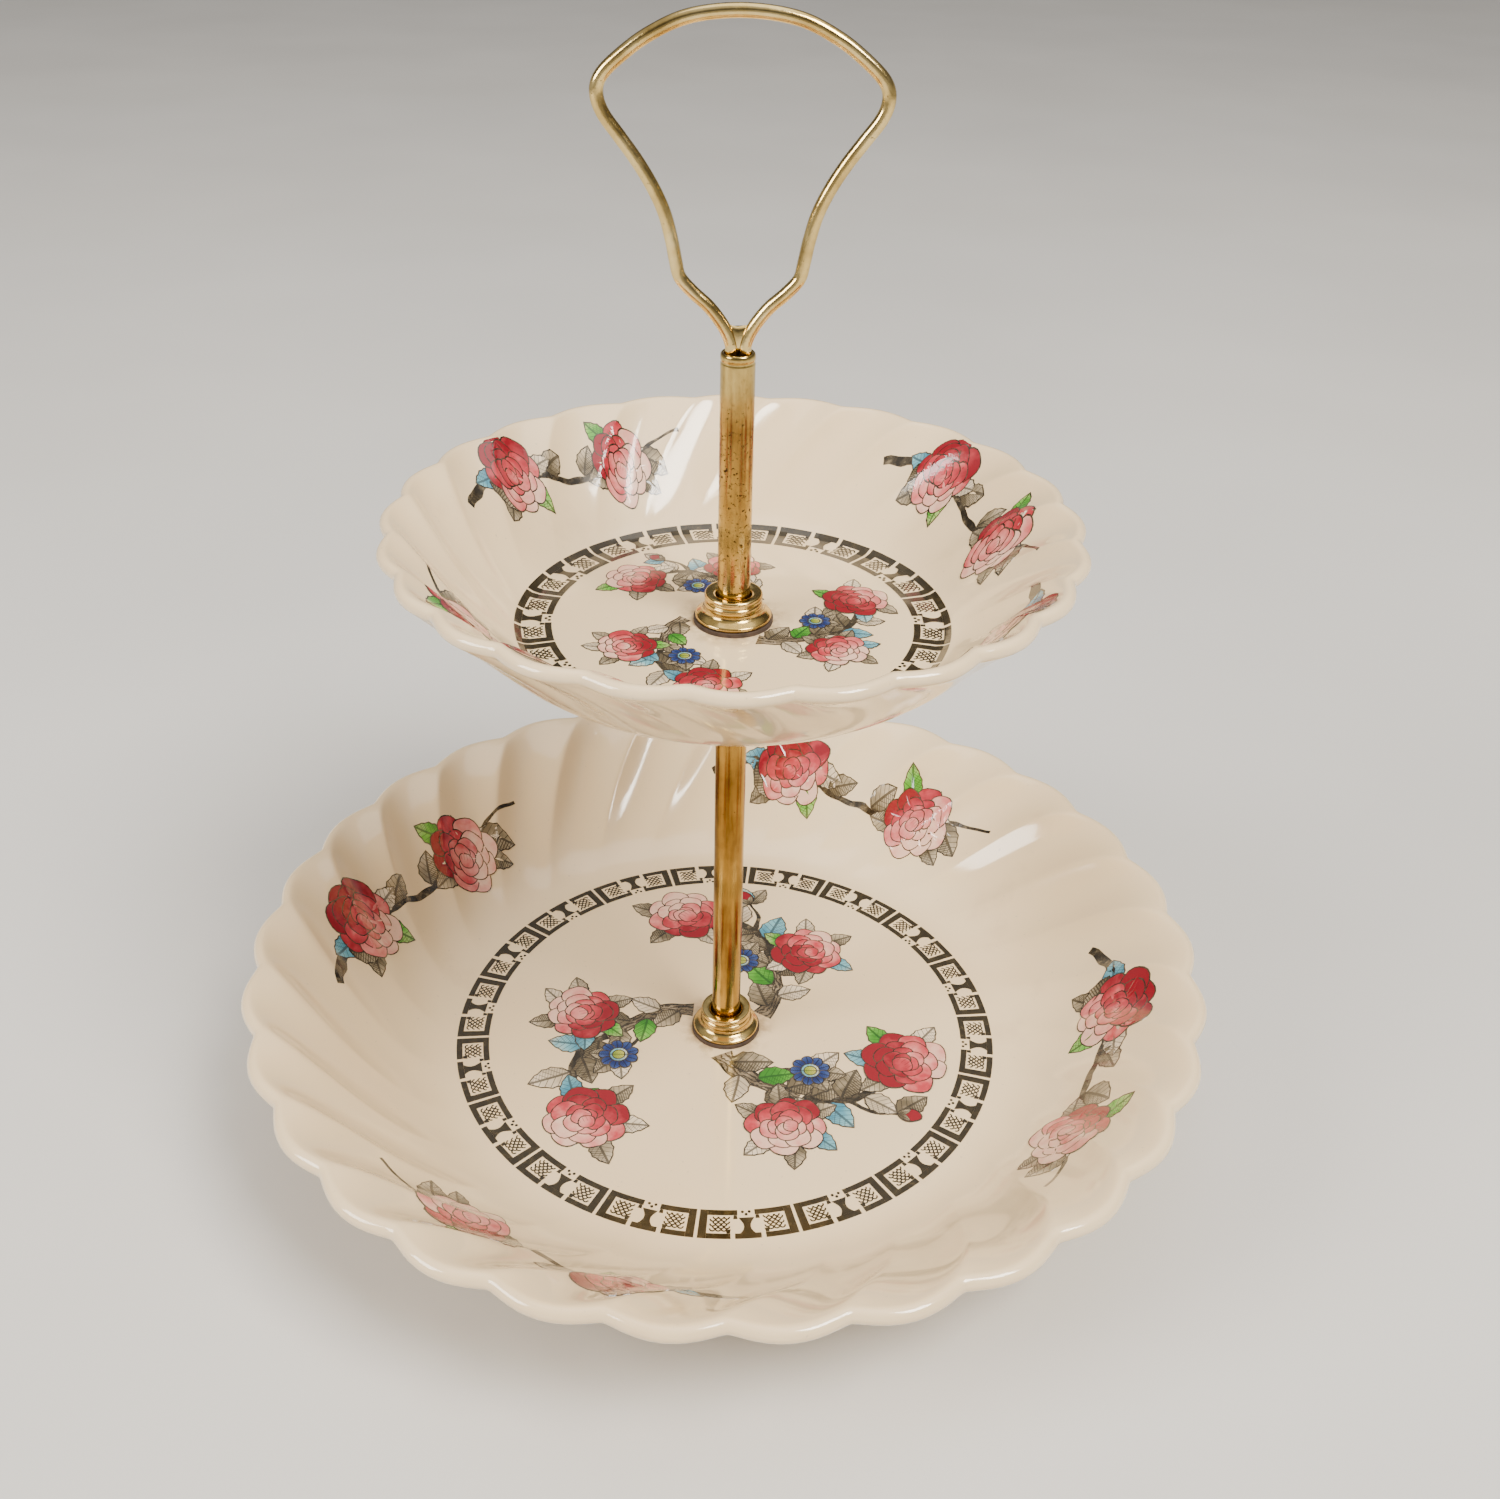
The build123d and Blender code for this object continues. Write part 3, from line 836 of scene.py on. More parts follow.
def bark_wash():
    """Grey-brown bark with fine strokes and pale knots."""
    n = Nodes("print_bark", glossy=True, roughness=0.14)
    across, along = n.patch()
    wander = n.noise(260, 4, 0.6)
    value = n.math("ADD", n.math("MULTIPLY", across, 0.8), n.math("MULTIPLY", wander, 0.9))
    stroke = n.strokes(value, 5, 0.40)
    stops = [(0.35, (0.085, 0.062, 0.035)), (0.55, (0.25, 0.19, 0.115)), (0.70, (0.56, 0.44, 0.29))]
    body = n.ramp(n.noise(180, 4, 0.6), stops)
    n.colour(n.mix(n.math("MULTIPLY", stroke, 0.88), body, (0.025, 0.018, 0.010)))
    return n.material


def petal_wash():
    """Petals from pale blush to deep crimson, with short creases at their base."""
    n = Nodes("print_petal", glossy=True, roughness=0.13)
    across, along = n.patch()
    depth = n.math("ADD", n.tone(), n.math("MULTIPLY", n.math("SUBTRACT", along, 0.5), 0.30))
    depth = n.math("ADD", depth, n.math("MULTIPLY", n.math("SUBTRACT", n.noise(330, 3), 0.5), 0.7))
    stops = [(0.05, (0.80, 0.50, 0.37)), (0.3, (0.72, 0.24, 0.21))]
    stops += [(0.55, (0.52, 0.05, 0.062)), (0.85, (0.24, 0.005, 0.013))]
    body = n.ramp(depth, stops)
    crease = n.math("MULTIPLY", n.strokes(across, 5, 0.13), n.math("LESS_THAN", along, 0.46))
    n.colour(n.mix(n.math("MULTIPLY", crease, 0.6), body, (0.08, 0.010, 0.010)))
    return n.material


def leaf_wash(name, washes, vein, hatch):
    """Leaf colour washed from its stalk out, with a midrib, side veins and engraved shading."""
    n = Nodes(name, glossy=True, roughness=0.13)
    across, along = n.patch()
    side = n.math("ABSOLUTE", n.math("MULTIPLY_ADD", across, 2.0, -1.0))
    wash = n.math("ADD", n.math("MULTIPLY", along, 0.5), n.math("MULTIPLY", n.noise(380, 3), 0.55))
    wash = n.math("ADD", wash, n.math("MULTIPLY", n.math("SUBTRACT", 0.5, n.tone()), 0.5))
    body = n.ramp(wash, list(zip((0.3, 0.55, 0.8), washes)))
    rib = n.math("LESS_THAN", side, 0.09)
    veins = n.strokes(n.math("SUBTRACT", along, n.math("MULTIPLY", side, 0.30)), 6, 0.13)
    drawn = n.math("MAXIMUM", rib, n.math("MULTIPLY", veins, n.math("LESS_THAN", side, 0.82)))
    fine = n.strokes(n.math("ADD", along, n.math("MULTIPLY", across, 0.4)), 15, 0.42)
    shaded = n.math("MULTIPLY", fine, n.math("GREATER_THAN", across, 0.5))
    drawn = n.math("MAXIMUM", drawn, n.math("MULTIPLY", shaded, hatch))
    n.colour(n.mix(n.math("MULTIPLY", drawn, 0.82), body, vein))
    return n.material


def key_wash():
    """Olive-brown printed band, thin in places."""
    n = Nodes("print_key_band", glossy=True, roughness=0.14)
    stops = [(0.45, (0.022, 0.015, 0.005)), (0.66, (0.045, 0.032, 0.012)), (0.84, (0.18, 0.13, 0.06))]
    n.colour(n.ramp(n.noise(620, 4, 0.65), stops))
    return n.material


def aged_brass(name, bright, brown, speck_from, polish_from=None):
    """Brass plate gone brown in patches, with streaks along the stem and dark pinholes."""
    n = Nodes(name, metallic=1.0)
    streak = n.noise(420, 4, 0.6, n.place(stretch=(1, 1, 0.12)))
    patch = n.noise(75, 4, 0.6)
    brownness = n.math("ADD", n.math("MULTIPLY", streak, 0.5), n.math("MULTIPLY", patch, 0.5))
    amount = n.span(brownness, 0.40, 0.60)
    tone = n.mix(amount, bright, brown)
    pin = n.span(n.noise(1300, 3, 0.7), speck_from, speck_from + 0.05)
    if polish_from is not None:
        height = n.add("SeparateXYZ")
        n.link(n.place(), height.inputs[0])
        clean = n.span(height.outputs["Z"], polish_from * MM, (polish_from + 6) * MM, 1.0, 0.15)
        pin = n.math("MULTIPLY", pin, clean)
    n.colour(n.mix(pin, tone, (0.055, 0.030, 0.012)))
    n.roughness(n.math("ADD", n.span(streak, 0.3, 0.7, 0.11, 0.22), n.math("MULTIPLY", pin, 0.4)))
    n.bump(n.noise(900, 4, 0.6), 0.000018, 0.6)
    return n.material


def bright_brass_plate(name):
    """Polished brass plate, warmer and duller in small patches, lightly scratched."""
    n = Nodes(name, metallic=1.0)
    patch = n.noise(110, 4, 0.6)
    tone = n.ramp(patch, [(0.32, (0.46, 0.31, 0.095)), (0.5, (0.70, 0.51, 0.19)), (0.68, (0.84, 0.66, 0.31))])
    pin = n.span(n.noise(1500, 2, 0.6), 0.69, 0.73, 0.0, 0.8)
    n.colour(n.mix(pin, tone, (0.10, 0.05, 0.015)))
    n.roughness(n.span(n.noise(600, 4, 0.65), 0.3, 0.75, 0.09, 0.24))
    n.bump(n.noise(1500, 3), 0.00003, 0.5)
    return n.material


def plated_steel():
    n = Nodes("plated_steel", metallic=1.0)
    tone = n.ramp(n.noise(200, 4), [(0.3, (0.40, 0.38, 0.34)), (0.7, (0.62, 0.60, 0.56))])
    rust = n.span(n.noise(340, 5, 0.7), 0.60, 0.70, 0.0, 0.8)
    n.colour(n.mix(rust, tone, (0.24, 0.11, 0.045)))
    n.roughness(n.math("ADD", n.span(n.noise(700, 3), 0.3, 0.7, 0.22, 0.38), n.math("MULTIPLY", rust, 0.4)))
    n.bump(n.noise(1200, 3), 0.00005, 0.5)
    return n.material


def dark_pad():
    n = Nodes("dark_pad", roughness=0.85)
    n.colour(n.ramp(n.noise(500, 4), [(0.3, (0.035, 0.022, 0.016)), (0.7, (0.085, 0.055, 0.038))]))
    n.bump(n.noise(900, 3), 0.0001, 0.6)
    return n.material


lower_glaze = ivory_glaze("ivory_glaze_lower", lower)
upper_glaze = ivory_glaze("ivory_glaze_upper", upper)
edge_ink = drawn_edge()
stem_ink = stem_wash()
bark_ink = bark_wash()
petal_ink = petal_wash()
key_ink = key_wash()

# Each leaf ink: its colours at the stalk, in the middle and at the tip, its veins and its shading.
GREEN = ((0.035, 0.20, 0.012), (0.12, 0.42, 0.035), (0.50, 0.58, 0.20))
SKY = ((0.06, 0.24, 0.34), (0.20, 0.46, 0.52), (0.60, 0.60, 0.48))
GREY = ((0.13, 0.10, 0.055), (0.40, 0.32, 0.20), (0.70, 0.57, 0.39))
PALE = ((0.52, 0.42, 0.28), (0.78, 0.64, 0.455), (0.82, 0.68, 0.49))
NAVY = ((0.008, 0.014, 0.085), (0.015, 0.035, 0.17), (0.05, 0.09, 0.26))
HEART = ((0.16, 0.24, 0.02), (0.36, 0.40, 0.05), (0.55, 0.50, 0.10))
green_ink = leaf_wash("print_green_leaf", GREEN, (0.012, 0.06, 0.008), 0.6)
sky_ink = leaf_wash("print_blue_leaf", SKY, (0.03, 0.05, 0.06), 0.5)
grey_ink = leaf_wash("print_grey_leaf", GREY, LINE, 0.95)
pale_ink = leaf_wash("print_pale_leaf", PALE, LINE, 0.45)
navy_ink = leaf_wash("print_navy_petal", NAVY, (0.005, 0.007, 0.025), 0.5)
heart_ink = leaf_wash("print_flower_heart", HEART, (0.05, 0.08, 0.01), 0.4)

tube_brass = aged_brass("tarnished_brass", (0.50, 0.33, 0.085), (0.20, 0.115, 0.026), 0.68)
spotted_brass = aged_brass("spotted_brass", (0.64, 0.46, 0.15), (0.27, 0.165, 0.045), 0.58, upper.floor + 40)
bright_brass = bright_brass_plate("polished_brass")
steel = plated_steel()
pad = dark_pad()

FINISHES = {
    "support_washer": bright_brass,
    "foot_bush": steel,
    "head_bush": steel,
    "upper_tube_bush": steel,
    "joining_stud": steel,
    "base_washer": steel,
    "base_screw": steel,
    "lower_pad_top": pad,
    "lower_pad_bottom": pad,
    "upper_pad_top": pad,
    "upper_pad_bottom": pad,
}
for node, material in FINISHES.items():
    for material_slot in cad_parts[node].material_slots:
        material_slot.material = material

make_bowl("Lower_bowl_glazed", lower, lower_glaze)
make_bowl("Upper_bowl_glazed", upper, upper_glaze)

# ------------------------------------------------------------------ key bands


def key_tile(bowl, radius, count, height, line):
    """One tile of the band, drawn round angle 0: two open frames and a stand between them."""
    sheet = Print(bowl, arc_chart(0, radius), line=line, level=0.03 if bowl is lower else 0.075)
    half = math.pi * radius / count - 0.36
    top = height / 2
    bar = 0.36 * top
    stroke = sheet.ribbon
    for side in (-1, 1):
        wall = side * (half - 0.62 * bar)
        inner_end = side * 0.19 * half
        outer_end = side * 0.35 * half
        start = side * (half - 1.26 * bar)
        stroke([(wall, -top, 1.25 * bar), (wall, top, 1.25 * bar)], key_ink, step=1.5)
        stroke([(start, -top + bar / 2, bar), (inner_end, -top + bar / 2, bar)], key_ink, step=1.5)
        stroke([(start, top - bar / 2, bar), (outer_end, top - bar / 2, bar)], key_ink, step=1.5)
        hook = inner_end * 1.25
        stroke([(hook, -top + bar * 1.05, 0.5 * bar), (hook, -top + bar * 1.75, 0.7 * bar)], key_ink)
        hook = outer_end * 1.12
        stroke([(hook, top - bar * 1.05, 0.5 * bar), (hook, top - bar * 1.8, 0.8 * bar)], key_ink)
        left = 0.36 * half
        right = half - 1.7 * bar
        thread = line * 1.4
        scale = (right - left) / 7
        for row in range(6):
            foot = -top + 1.3 * bar + 1.06 * row * scale
            shift = scale if row % 2 else 0
            for turn in range(3):
                middle = side * (left + scale + shift + 2 * scale * turn)
                arc = []
                for part in range(7):
                    angle = math.pi * part / 6
                    across = middle + 0.94 * scale * math.cos(angle)
                    arc.append((across, foot + scale * math.sin(angle), thread))
                stroke(arc, key_ink, step=0.4)
    stroke([(-0.26 * half, top - bar / 2, bar), (0.26 * half, top - bar / 2, bar)], key_ink)
    stem = [(0, top - bar * 1.02, 2.2 * bar), (0, 0.36 * top, 1.2 * bar)]
    stem += [(0, 0.0, 1.1 * bar), (0, -0.45 * top, 2.5 * bar)]
    stroke(stem, key_ink, step=0.6)
    for x, y in ((-0.075, -0.86), (0.075, -0.86), (0, -0.68)):
        dot = petal_outline(0.5 * bar, 0.25 * bar, 0.0, 0)
        sheet.patch((x * half - 0.25 * bar, y * top), 0, dot, 0.5 * bar, 0, key_ink, 0.5, 0.05)
    return sheet


for label, bowl, radius, count, height, line, first in (
    ("Lower", lower, 59.0, 18, 7.4, 0.22, 275.0),
    ("Upper", upper, 39.55, 12, 7.3, 0.20, 91.8),
):
    tile = key_tile(bowl, radius, count, height, line).piece(label + "_key_tile")
    values = {"Count": count, "Start Angle": math.radians(first), "Join Distance": APART, "Finish": key_ink}
    belong(grown(label + "_key_band", tile, COPIES, values), bowl.body, "ivory_glaze")

# ------------------------------------------------------------------ branches grown by rule
# Every branch follows the same rule: side twigs leave it by turns to the left and the right, leaves
# sit between them, and its flowers have a ring of leaves. A branch is given its path, its size, its
# seed, the places of its flowers and twigs along the path, and the room that it has to fit.

LEAF_INKS = (grey_ink, pale_ink, green_ink, grey_ink, grey_ink, pale_ink, grey_ink, sky_ink)
LEAF_ROUND = 0.33
LEAF_BEND = 0.09
LEAF_TEETH = 0.06
STAR_SIZE = 4.8
BUD_SIZE = 5.6
TWIG_SHARES = (0.10, 0.24, 0.38, 0.62, 0.76, 0.88)


class Branch:
    """Places of the twigs, leaves and flowers of one branch, in the chart's millimetres."""

    def __init__(self, path, size, seed, flowers, fits, twig_shares=TWIG_SHARES, thick=4.6):
        self.path = path
        self.size = size
        self.seed = seed
        self.fits = fits
        self.chance = random.Random(seed)
        self.thick = thick
        self.flowers = []
        self.leaves = []
        self.twigs = []
        self.tips = []
        for share, off, reach, deep in flowers:
            x, y, way = self.spot(share, off * size)
            self.flowers.append((x, y, reach * size, way + 120, deep))
        for index, share in enumerate(twig_shares):
            self.grow_twig(share, 1 if index % 2 else -1)
        self.grow_leaves()

    def spot(self, share, off=0.0):
        """A place beside the path, and the path's heading there in degrees."""
        x, y = self.path(share)
        ahead = self.path(share + 0.01)
        way = math.atan2(ahead[1] - y, ahead[0] - x)
        return x - off * math.sin(way), y + off * math.cos(way), math.degrees(way)

    def grow_twig(self, share, side):
        x, y, way = self.spot(share)
        length = self.chance.uniform(11, 15) * self.size
        lean = math.radians(way + side * self.chance.uniform(46, 64))
        bend = math.radians(way + side * self.chance.uniform(15, 35))
        middle = (x + 0.5 * length * math.cos(lean), y + 0.5 * length * math.sin(lean))
        tip = (middle[0] + 0.5 * length * math.cos(bend), middle[1] + 0.5 * length * math.sin(bend))
        clear = all(math.dist(tip, flower[:2]) > flower[2] + 5 * self.size for flower in self.flowers)
        room = 5.4 * self.size
        sides = ((room, 0), (-room, 0), (0, room), (0, -room))
        if clear and all(self.fits(tip[0] + across, tip[1] + up) for across, up in sides):
            self.twigs.append([(x, y, 1.3 * self.size), (*middle, 0.9 * self.size), (*tip, 0.6 * self.size)])
            self.tips.append((*tip, math.degrees(bend)))

    def add_leaf(self, x, y, turn, length):
        way = math.radians(turn)
        if self.fits(x + length * math.cos(way), y + length * math.sin(way)):
            ink = LEAF_INKS[len(self.leaves) % len(LEAF_INKS)]
            self.leaves.append((x, y, turn, length, ink, self.chance.uniform(0.4, 0.9)))

    def grow_leaves(self):
        for index in range(11):
            side = -1 if index % 2 else 1
            x, y, way = self.spot(0.06 + 0.085 * index, side * 0.6 * self.size)
            turn = way + side * self.chance.uniform(38, 62)
            self.add_leaf(x, y, turn, self.chance.uniform(8, 10.5) * self.size)
        for x, y, way in self.tips:
            for turn in (-52, 0, 50):
                self.add_leaf(x, y, way + turn, self.chance.uniform(7, 9.5) * self.size)
        for x, y, reach, facing, deep in self.flowers:
            for index in range(6):
                turn = facing + 60 * index + self.chance.uniform(-12, 12)
                way = math.radians(turn)
                foot = (x + 0.62 * reach * math.cos(way), y + 0.62 * reach * math.sin(way))
                self.add_leaf(*foot, turn + self.chance.uniform(-14, 14), 0.86 * reach)

    def draw_wood(self, sheet, barked=True):
        line = []
        for step in range(11):
            x, y, way = self.spot(step / 10)
            line.append((x, y, (self.thick - 0.74 * self.thick * step / 10) * self.size))
        if barked:
            trunk(sheet, line[:6], self.seed)
            twig(sheet, line[5:], self.seed + 1)
        else:
            twig(sheet, line, self.seed + 1)
        for index, side_twig in enumerate(self.twigs):
            twig(sheet, side_twig, self.seed + 2 + index)

    def draw_leaves(self, sheet):
        for x, y, turn, length, ink, tone in self.leaves:
            leaf(sheet, x, y, turn, length, ink, LEAF_ROUND, LEAF_BEND, LEAF_TEETH, tone)

    def draw_flowers(self, sheet):
        for index, (x, y, reach, facing, deep) in enumerate(self.flowers):
            peony(sheet, x, y, reach, facing, deep, self.seed + 20 + index)
        for index, (x, y, way) in enumerate(self.tips):
            if index % 3 == 0:
                star_flower(sheet, x, y, STAR_SIZE * self.size)
            elif index % 3 == 1:
                bud(sheet, x, y, way, BUD_SIZE * self.size)


# ------------------------------------------------------------------ sprays on the bowls' sides


def spray_path(share):
    """A shallow wave from one end of a spray to the other."""
    return 80 * share - 40, 3.4 * math.sin(7.0 * share + 0.6)


def fits_the_side(x, y):
    return abs(x) < 47 and abs(y) < 10.5


# A spray's flowers: place along the path, offset from it, size and depth of colour.
SPRAY_FLOWERS = ((0.27, 0.6, 9.6, 0.50), (0.74, -0.6, 9.2, 0.30))
SPRAY_TWIGS = (0.46, 0.90, 0.52, 0.02)
SPRAY = Branch(spray_path, 1.0, 200, SPRAY_FLOWERS, fits_the_side, SPRAY_TWIGS, 2.2)

# Lifts of a spray's wood, leaves and flowers above the glaze.
WOOD_LIFT = 0.03
LEAF_LIFT = 0.065
FLOWER_LIFT = 0.11
CURVED = (0.0, 0.3, 0.6, 0.85, 1.0)
for label, bowl, radius, size_x, size_y, line, centres in (
    ("Lower", lower, 86.5, 1.0, 0.86, 0.28, (156.6, 246.6, 342.0, 66.6)),
    ("Upper", upper, 56.2, 0.70, 0.72, 0.24, (131.4, 221.0, 318.0, 27.0)),
):
    for index, centre in enumerate(centres):
        chart = arc_chart(centre, radius, size_x, size_y)
        sheet = Print(bowl, chart, CURVED, line / size_x, WOOD_LIFT, gap=0.012, cycle=3)
        SPRAY.draw_wood(sheet, barked=False)
        sheet.level = LEAF_LIFT
        SPRAY.draw_leaves(sheet)
        sheet.level = FLOWER_LIFT
        SPRAY.draw_flowers(sheet)
        sheet.piece(f"{label}_spray_print_{index + 1}", bowl.body)

# ------------------------------------------------------------------ the bowls' centres


BRANCH_FOOT = 9.5
COLLAR_ROOM = 8.6


def curl_out(turn, reach):
    """A path that leaves the stem at an angle of turn and curls outwards to a radius of reach."""

    def path(share):
        way = math.radians(turn + 82 * share + 8 * math.sin(6 * share))
        out = BRANCH_FOOT + (reach - BRANCH_FOOT) * max(share, 0) ** 0.85
        return out * math.cos(way), out * math.sin(way)

    return path


def fits_the_floor(edge):
    """Whether a point lies between the collar and the key band."""

    def fits(x, y):
        return COLLAR_ROOM < math.hypot(x, y) < edge

    return fits


CENTRE_BRANCHES = 3
for label, bowl, size, line, levels, first, reach, edge in (
    ("Lower", lower, 1.0, (0.45, 0.30), (0.075, 0.145), 25, 43.0, 54.0),
    ("Upper", upper, 0.68, (0.32, 0.25), (0.06, 0.105), 60, 26.5, 34.8),
):
    branches = []
    for index in range(CENTRE_BRANCHES):
        path = curl_out(first + 360 * index / CENTRE_BRANCHES, reach)
        flowers = ((1.0, 0.0, 9.8, 0.32 + 0.13 * index), (0.52, -9.5, 8.8, 0.56 - 0.12 * index))
        branches.append(Branch(path, size, 300 + 40 * index, flowers, fits_the_floor(edge)))
    wood = Print(bowl, line=line[0])
    foliage = Print(bowl, line=line[1], level=levels[0])
    blooms = Print(bowl, line=line[1], level=levels[1])
    for branch in branches:
        branch.draw_wood(wood)
        branch.draw_leaves(foliage)
        branch.draw_flowers(blooms)
    wood.piece(label + "_branch_print", bowl.body)
    foliage.piece(label + "_leaf_print", bowl.body)
    blooms.piece(label + "_flower_print", bowl.body)

# ------------------------------------------------------------------ stem


def collar_profile(base, top):
    """Turned collar: upright edge, cone, two beads and a lip that dips to the tube."""
    points = [(2.5, base), (7.45, base)]
    cone = [(7.6, base + 0.05), (7.6, base + 0.8), (6.9, base + 1.25), (5.3, base + 2.2)]
    points += rounded(cone, (0.1, 0.3, 0.4, 0), 4)[5:]
    height = (top - base - 2.3) / 2
    for bead in range(2):
        start = base + 2.3 + bead * height
        for index in range(1, 12):
            angle = math.pi * index / 12
            reach = 5.2 + 0.58 * math.sin(angle) ** 0.8
            points.append((reach, start + height * (0.5 - 0.5 * math.cos(angle))))
    points += [(5.05, top - 0.05), (4.6, top), (4.1, top - 0.06)]
    points += [(3.62, top - 0.3), (3.42, top - 0.7), (3.32, top - 1.2)]
    points += [(3.3, base + 1.6), (2.5, base + 1.6)]
    return points


for label, node, body in (("Lower", "lower_collar", "stem"), ("Upper", "upper_collar", "collar")):
    low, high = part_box(node)
    piece = turned(label + "_collar_turned", collar_profile(low.z / MM, high.z / MM), bright_brass, 96)
    belong(piece, body, "turned_brass", node)


TUBE_R = 3.25
TUBE_BORE = 2.55


def tube_profile(low, high, rolled):
    """A plated tube, a hair uneven along its length, with a rolled bead at its top where rolled is set."""
    outer = TUBE_R
    bore = TUBE_BORE
    profile = [(bore, low), (outer - 0.1, low), (outer, low + 0.1)]
    steps = 60
    for index in range(1, steps):
        share = index / steps
        radius = outer - 0.012 - 0.012 * math.sin(37 * share) * math.sin(11 * share)
        profile.append((radius, low + (high - low - 2.4) * share))
    if rolled:
        profile += [(outer - 0.02, high - 2.2), (outer - 0.05, high - 1.9), (outer - 0.16, high - 1.62)]
        profile += [(outer - 0.05, high - 1.34), (outer, high - 1.1), (outer, high - 0.7)]
        profile += [(outer - 0.06, high - 0.34), (outer - 0.2, high - 0.1)]
        profile += [(outer - 0.38, high), (bore + 0.05, high - 0.12), (bore, high - 0.4)]
    else:
        profile += [(outer, high - 0.1), (outer - 0.1, high), (bore, high)]
    return profile


for label, node, body, material, rolled in (
    ("Lower", "lower_tube", "stem", tube_brass, False),
    ("Upper", "upper_tube", "handle", spotted_brass, True),
):
    low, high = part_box(node)
    piece = turned(label + "_tube_plated", tube_profile(low.z / MM, high.z / MM, rolled), material, 64)
    belong(piece, body, "tube_brass", node)

# ------------------------------------------------------------------ handle
# Half of the loop's centre line: distance from the stem and height above the tube's end.

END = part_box("upper_tube")[1].z / MM
HALF_LOOP = [
    (0, 56.2), (8.8, 55.2), (15.5, 52.3), (20.6, 48.7), (23.6, 45.7), (24.25, 43.0), (23.2, 40.0),
    (20.6, 36.5), (17.7, 32.6), (15.1, 28.4), (13.2, 24.3), (12.0, 20.0), (11.2, 15.9), (10.5, 13.2),
    (8.2, 10.6), (5.2, 7.9), (2.7, 4.6), (1.35, 1.6), (1.24, -1.0), (1.24, -14.0),
]
WIRE_R = 1.2


def make_handle():
    points = [(-x, z) for x, z in reversed(HALF_LOOP[1:])] + HALF_LOOP
    track = through(points, 0.7)
    curve = bpy.data.curves.new("Handle_path", "CURVE")
    curve.dimensions = "3D"
    spline = curve.splines.new("POLY")
    spline.points.add(len(track) - 1)
    for point, (x, z) in zip(spline.points, track):
        point.co = (x * MM, 0, (END + z) * MM, 1)
    path = bpy.data.objects.new("Handle_path", curve)
    bpy.context.scene.collection.objects.link(path)
    values = {"Wire Radius": WIRE_R * MM, "Sides": 20, "Step": 0.5 * MM, "Finish": bright_brass}
    belong(grown("Handle_wire_loop", path, WIRE, values), "handle", "wire_brass", "handle_loop")


def make_web():
    """The small brazed web that fills the foot of the loop's fork."""
    points = []
    sides = 20
    rows = [(-1.2, 1.3, 0.5), (0.2, 1.5, 0.72), (1.6, 1.6, 0.74)]
    rows += [(3.0, 1.8, 0.66), (4.1, 2.0, 0.45), (4.55, 1.5, 0.16)]
    for height, half, thick in rows:
        for side in range(sides):
            angle = 2 * math.pi * side / sides
            dip = 0.35 * math.cos(angle) ** 2 if height > 2 else 0
            points.append((half * math.cos(angle), thick * math.sin(angle), END + height + dip))
    faces = [tuple(reversed(range(sides)))]
    for row in range(len(rows) - 1):
        for side in range(sides):
            beside = (side + 1) % sides
            near = row * sides
            faces.append((near + side, near + beside, near + sides + beside, near + sides + side))
    faces.append(tuple(range(sides * (len(rows) - 1), sides * len(rows))))
    belong(new_piece("Handle_brazed_web", points, faces, [bright_brass]), "handle", "wire_brass")


make_handle()
make_web()

# ------------------------------------------------------------------ floor, light and camera


def paper_floor():
    n = Nodes("paper_floor", roughness=0.9)
    n.colour(n.ramp(n.noise(6, 2), [(0.3, (0.60, 0.585, 0.56)), (0.7, (0.64, 0.625, 0.60))]))
    return n.material


FLOOR_HALF = 3000
FLOOR_Z = -0.2
corners = [(x * FLOOR_HALF, y * FLOOR_HALF, FLOOR_Z) for x, y in ((-1, -1), (1, -1), (1, 1), (-1, 1))]
floor = new_piece("Floor", corners, [(0, 1, 2, 3)], [paper_floor()], smooth=False)


def square_light(name, place, size, power, colour):
    """A soft square light aimed at the middle of the stand."""
    data = bpy.data.lights.new(name, "AREA")
    data.shape = "RECTANGLE"
    data.size = size
    data.size_y = size
    data.energy = power
    data.color = colour
    light = bpy.data.objects.new(name, data)
    light.location = place
    light.rotation_euler = (Vector(MIDDLE) - Vector(place)).to_track_quat("-Z", "Y").to_euler()
    bpy.context.scene.collection.objects.link(light)


MIDDLE = (0, 0, 0.1)
square_light("Key_light", (0.64, -0.56, 1.18), 0.55, 30, (1.0, 0.955, 0.88))
square_light("Fill_light", (-1.05, -0.5, 0.75), 0.6, 18, (1.0, 0.965, 0.915))
square_light("Top_light", (0.1, 0.15, 1.5), 1.1, 5, (1.0, 0.96, 0.90))


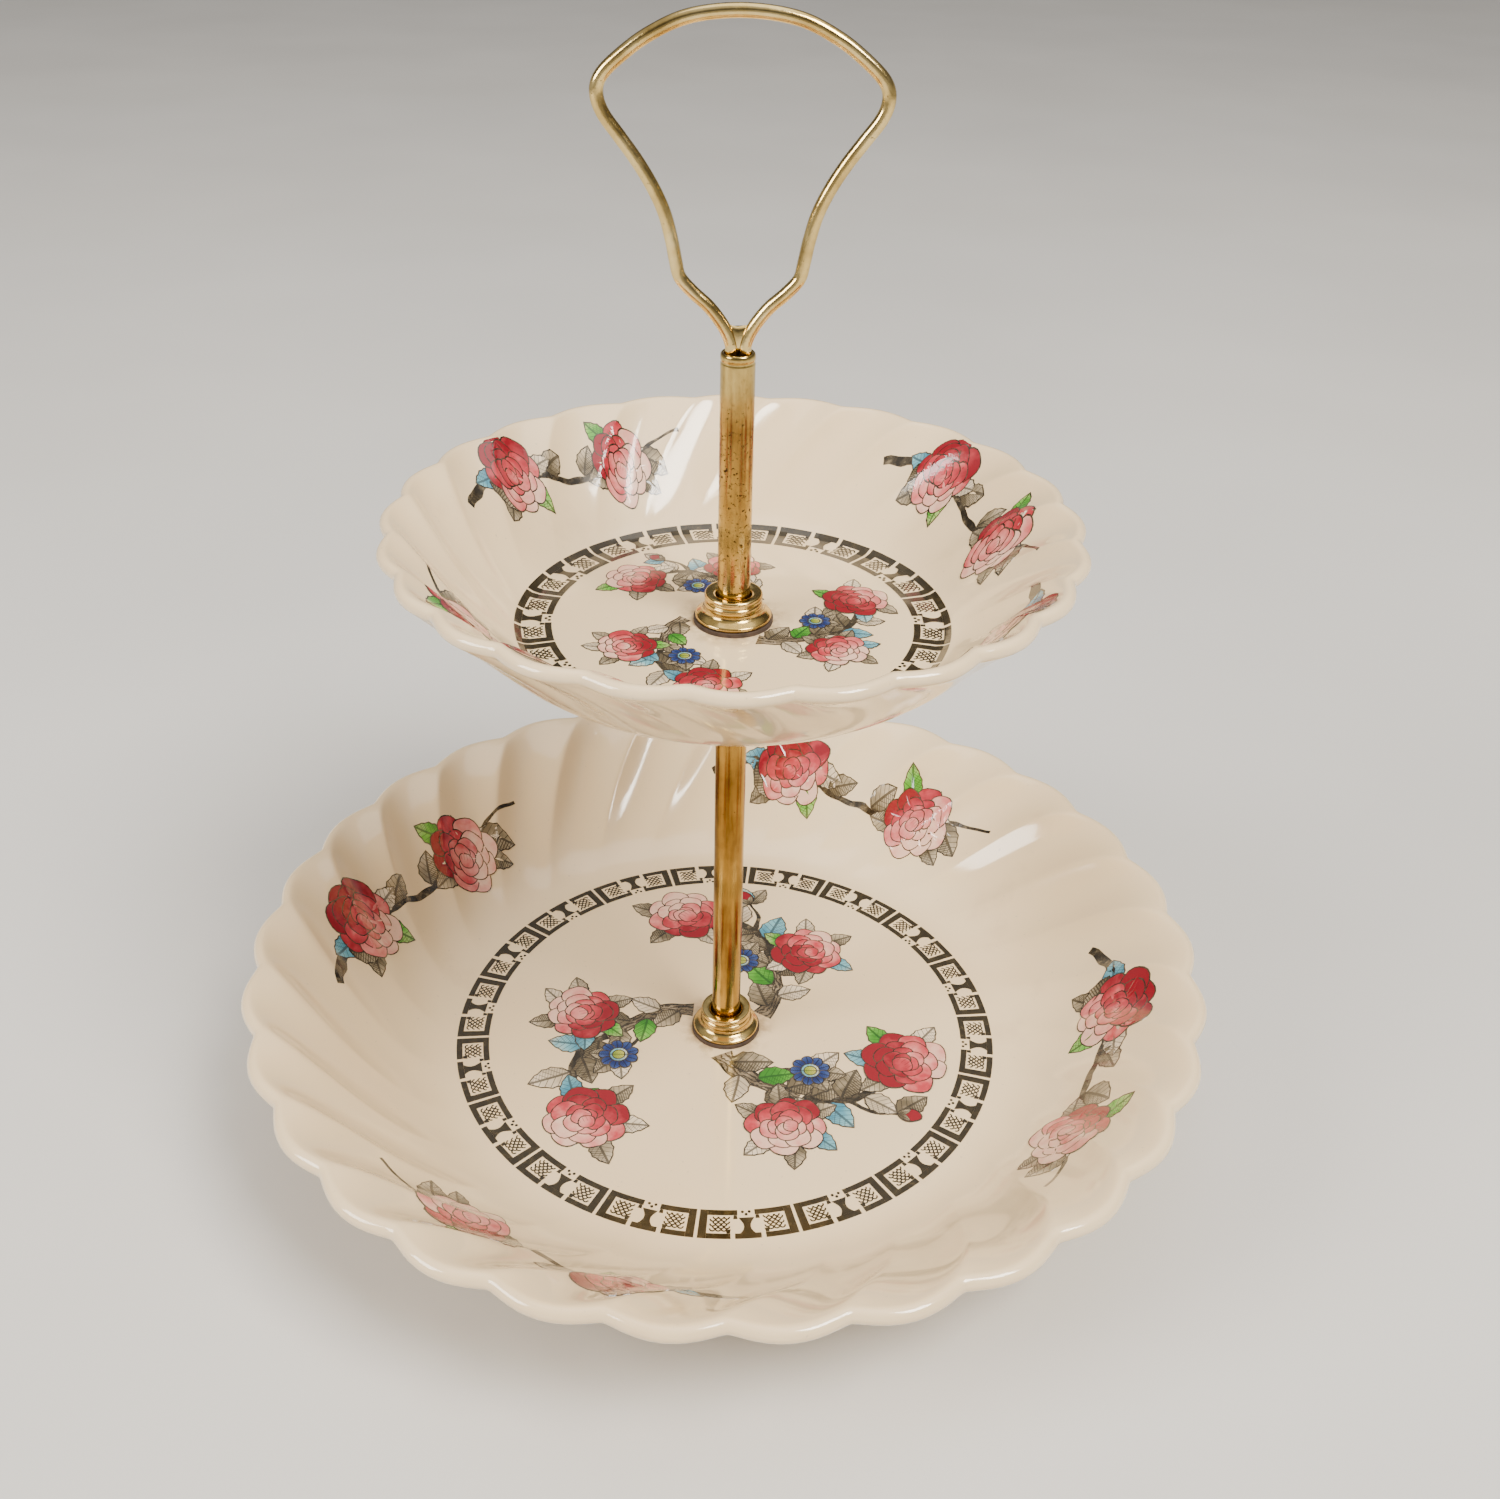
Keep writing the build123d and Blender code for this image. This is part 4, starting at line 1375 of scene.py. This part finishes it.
def studio_world():
    """Plain surroundings, bright overhead and darker towards the horizon."""
    world = bpy.data.worlds.new("Studio")
    world.use_nodes = True
    tree = world.node_tree
    split = tree.nodes.new("ShaderNodeSeparateXYZ")
    shade = tree.nodes.new("ShaderNodeValToRGB")
    tree.links.new(tree.nodes.new("ShaderNodeTexCoord").outputs["Generated"], split.inputs[0])
    tree.links.new(split.outputs["Z"], shade.inputs["Fac"])
    stops = ((0.0, 0.62), (0.12, 0.50), (0.30, 0.15), (0.55, 0.17), (0.78, 0.75), (1.0, 1.0))
    while len(shade.color_ramp.elements) < len(stops):
        shade.color_ramp.elements.new(0.5)
    for element, (at, level) in zip(shade.color_ramp.elements, stops):
        element.position = at
        element.color = (level, level * 0.965, level * 0.92, 1)
    background = tree.nodes["Background"]
    tree.links.new(shade.outputs["Color"], background.inputs["Color"])
    background.inputs["Strength"].default_value = 0.85
    return world


bpy.context.scene.world = studio_world()

# The camera stands in front of the stand, a bowl's width and a third away, and looks down on it.
CAMERA_BACK = 277.3
CAMERA_HEIGHT = 265.6
CAMERA_YAW = 0.0145
CAMERA_PITCH = 0.5714
CAMERA_ROLL = 0.0263
CAMERA_LENS = 37.76
SENSOR_WIDTH = 36

camera_data = bpy.data.cameras.new("Camera")
camera_data.sensor_fit = "HORIZONTAL"
camera_data.sensor_width = SENSOR_WIDTH
camera_data.lens = CAMERA_LENS
camera_data.clip_start = 0.01
camera_data.clip_end = 20
camera = bpy.data.objects.new("Camera", camera_data)
ahead = Vector((
    math.sin(CAMERA_YAW) * math.cos(CAMERA_PITCH),
    math.cos(CAMERA_YAW) * math.cos(CAMERA_PITCH),
    -math.sin(CAMERA_PITCH),
))
side = Vector((math.cos(CAMERA_YAW), -math.sin(CAMERA_YAW), 0))
rise = side.cross(ahead)
right = side * math.cos(CAMERA_ROLL) + rise * math.sin(CAMERA_ROLL)
top = rise * math.cos(CAMERA_ROLL) - side * math.sin(CAMERA_ROLL)
aimed = Matrix((right, top, -ahead)).transposed().to_4x4()
camera.matrix_world = Matrix.Translation((0, -CAMERA_BACK * MM, CAMERA_HEIGHT * MM)) @ aimed
bpy.context.scene.collection.objects.link(camera)
bpy.context.scene.camera = camera
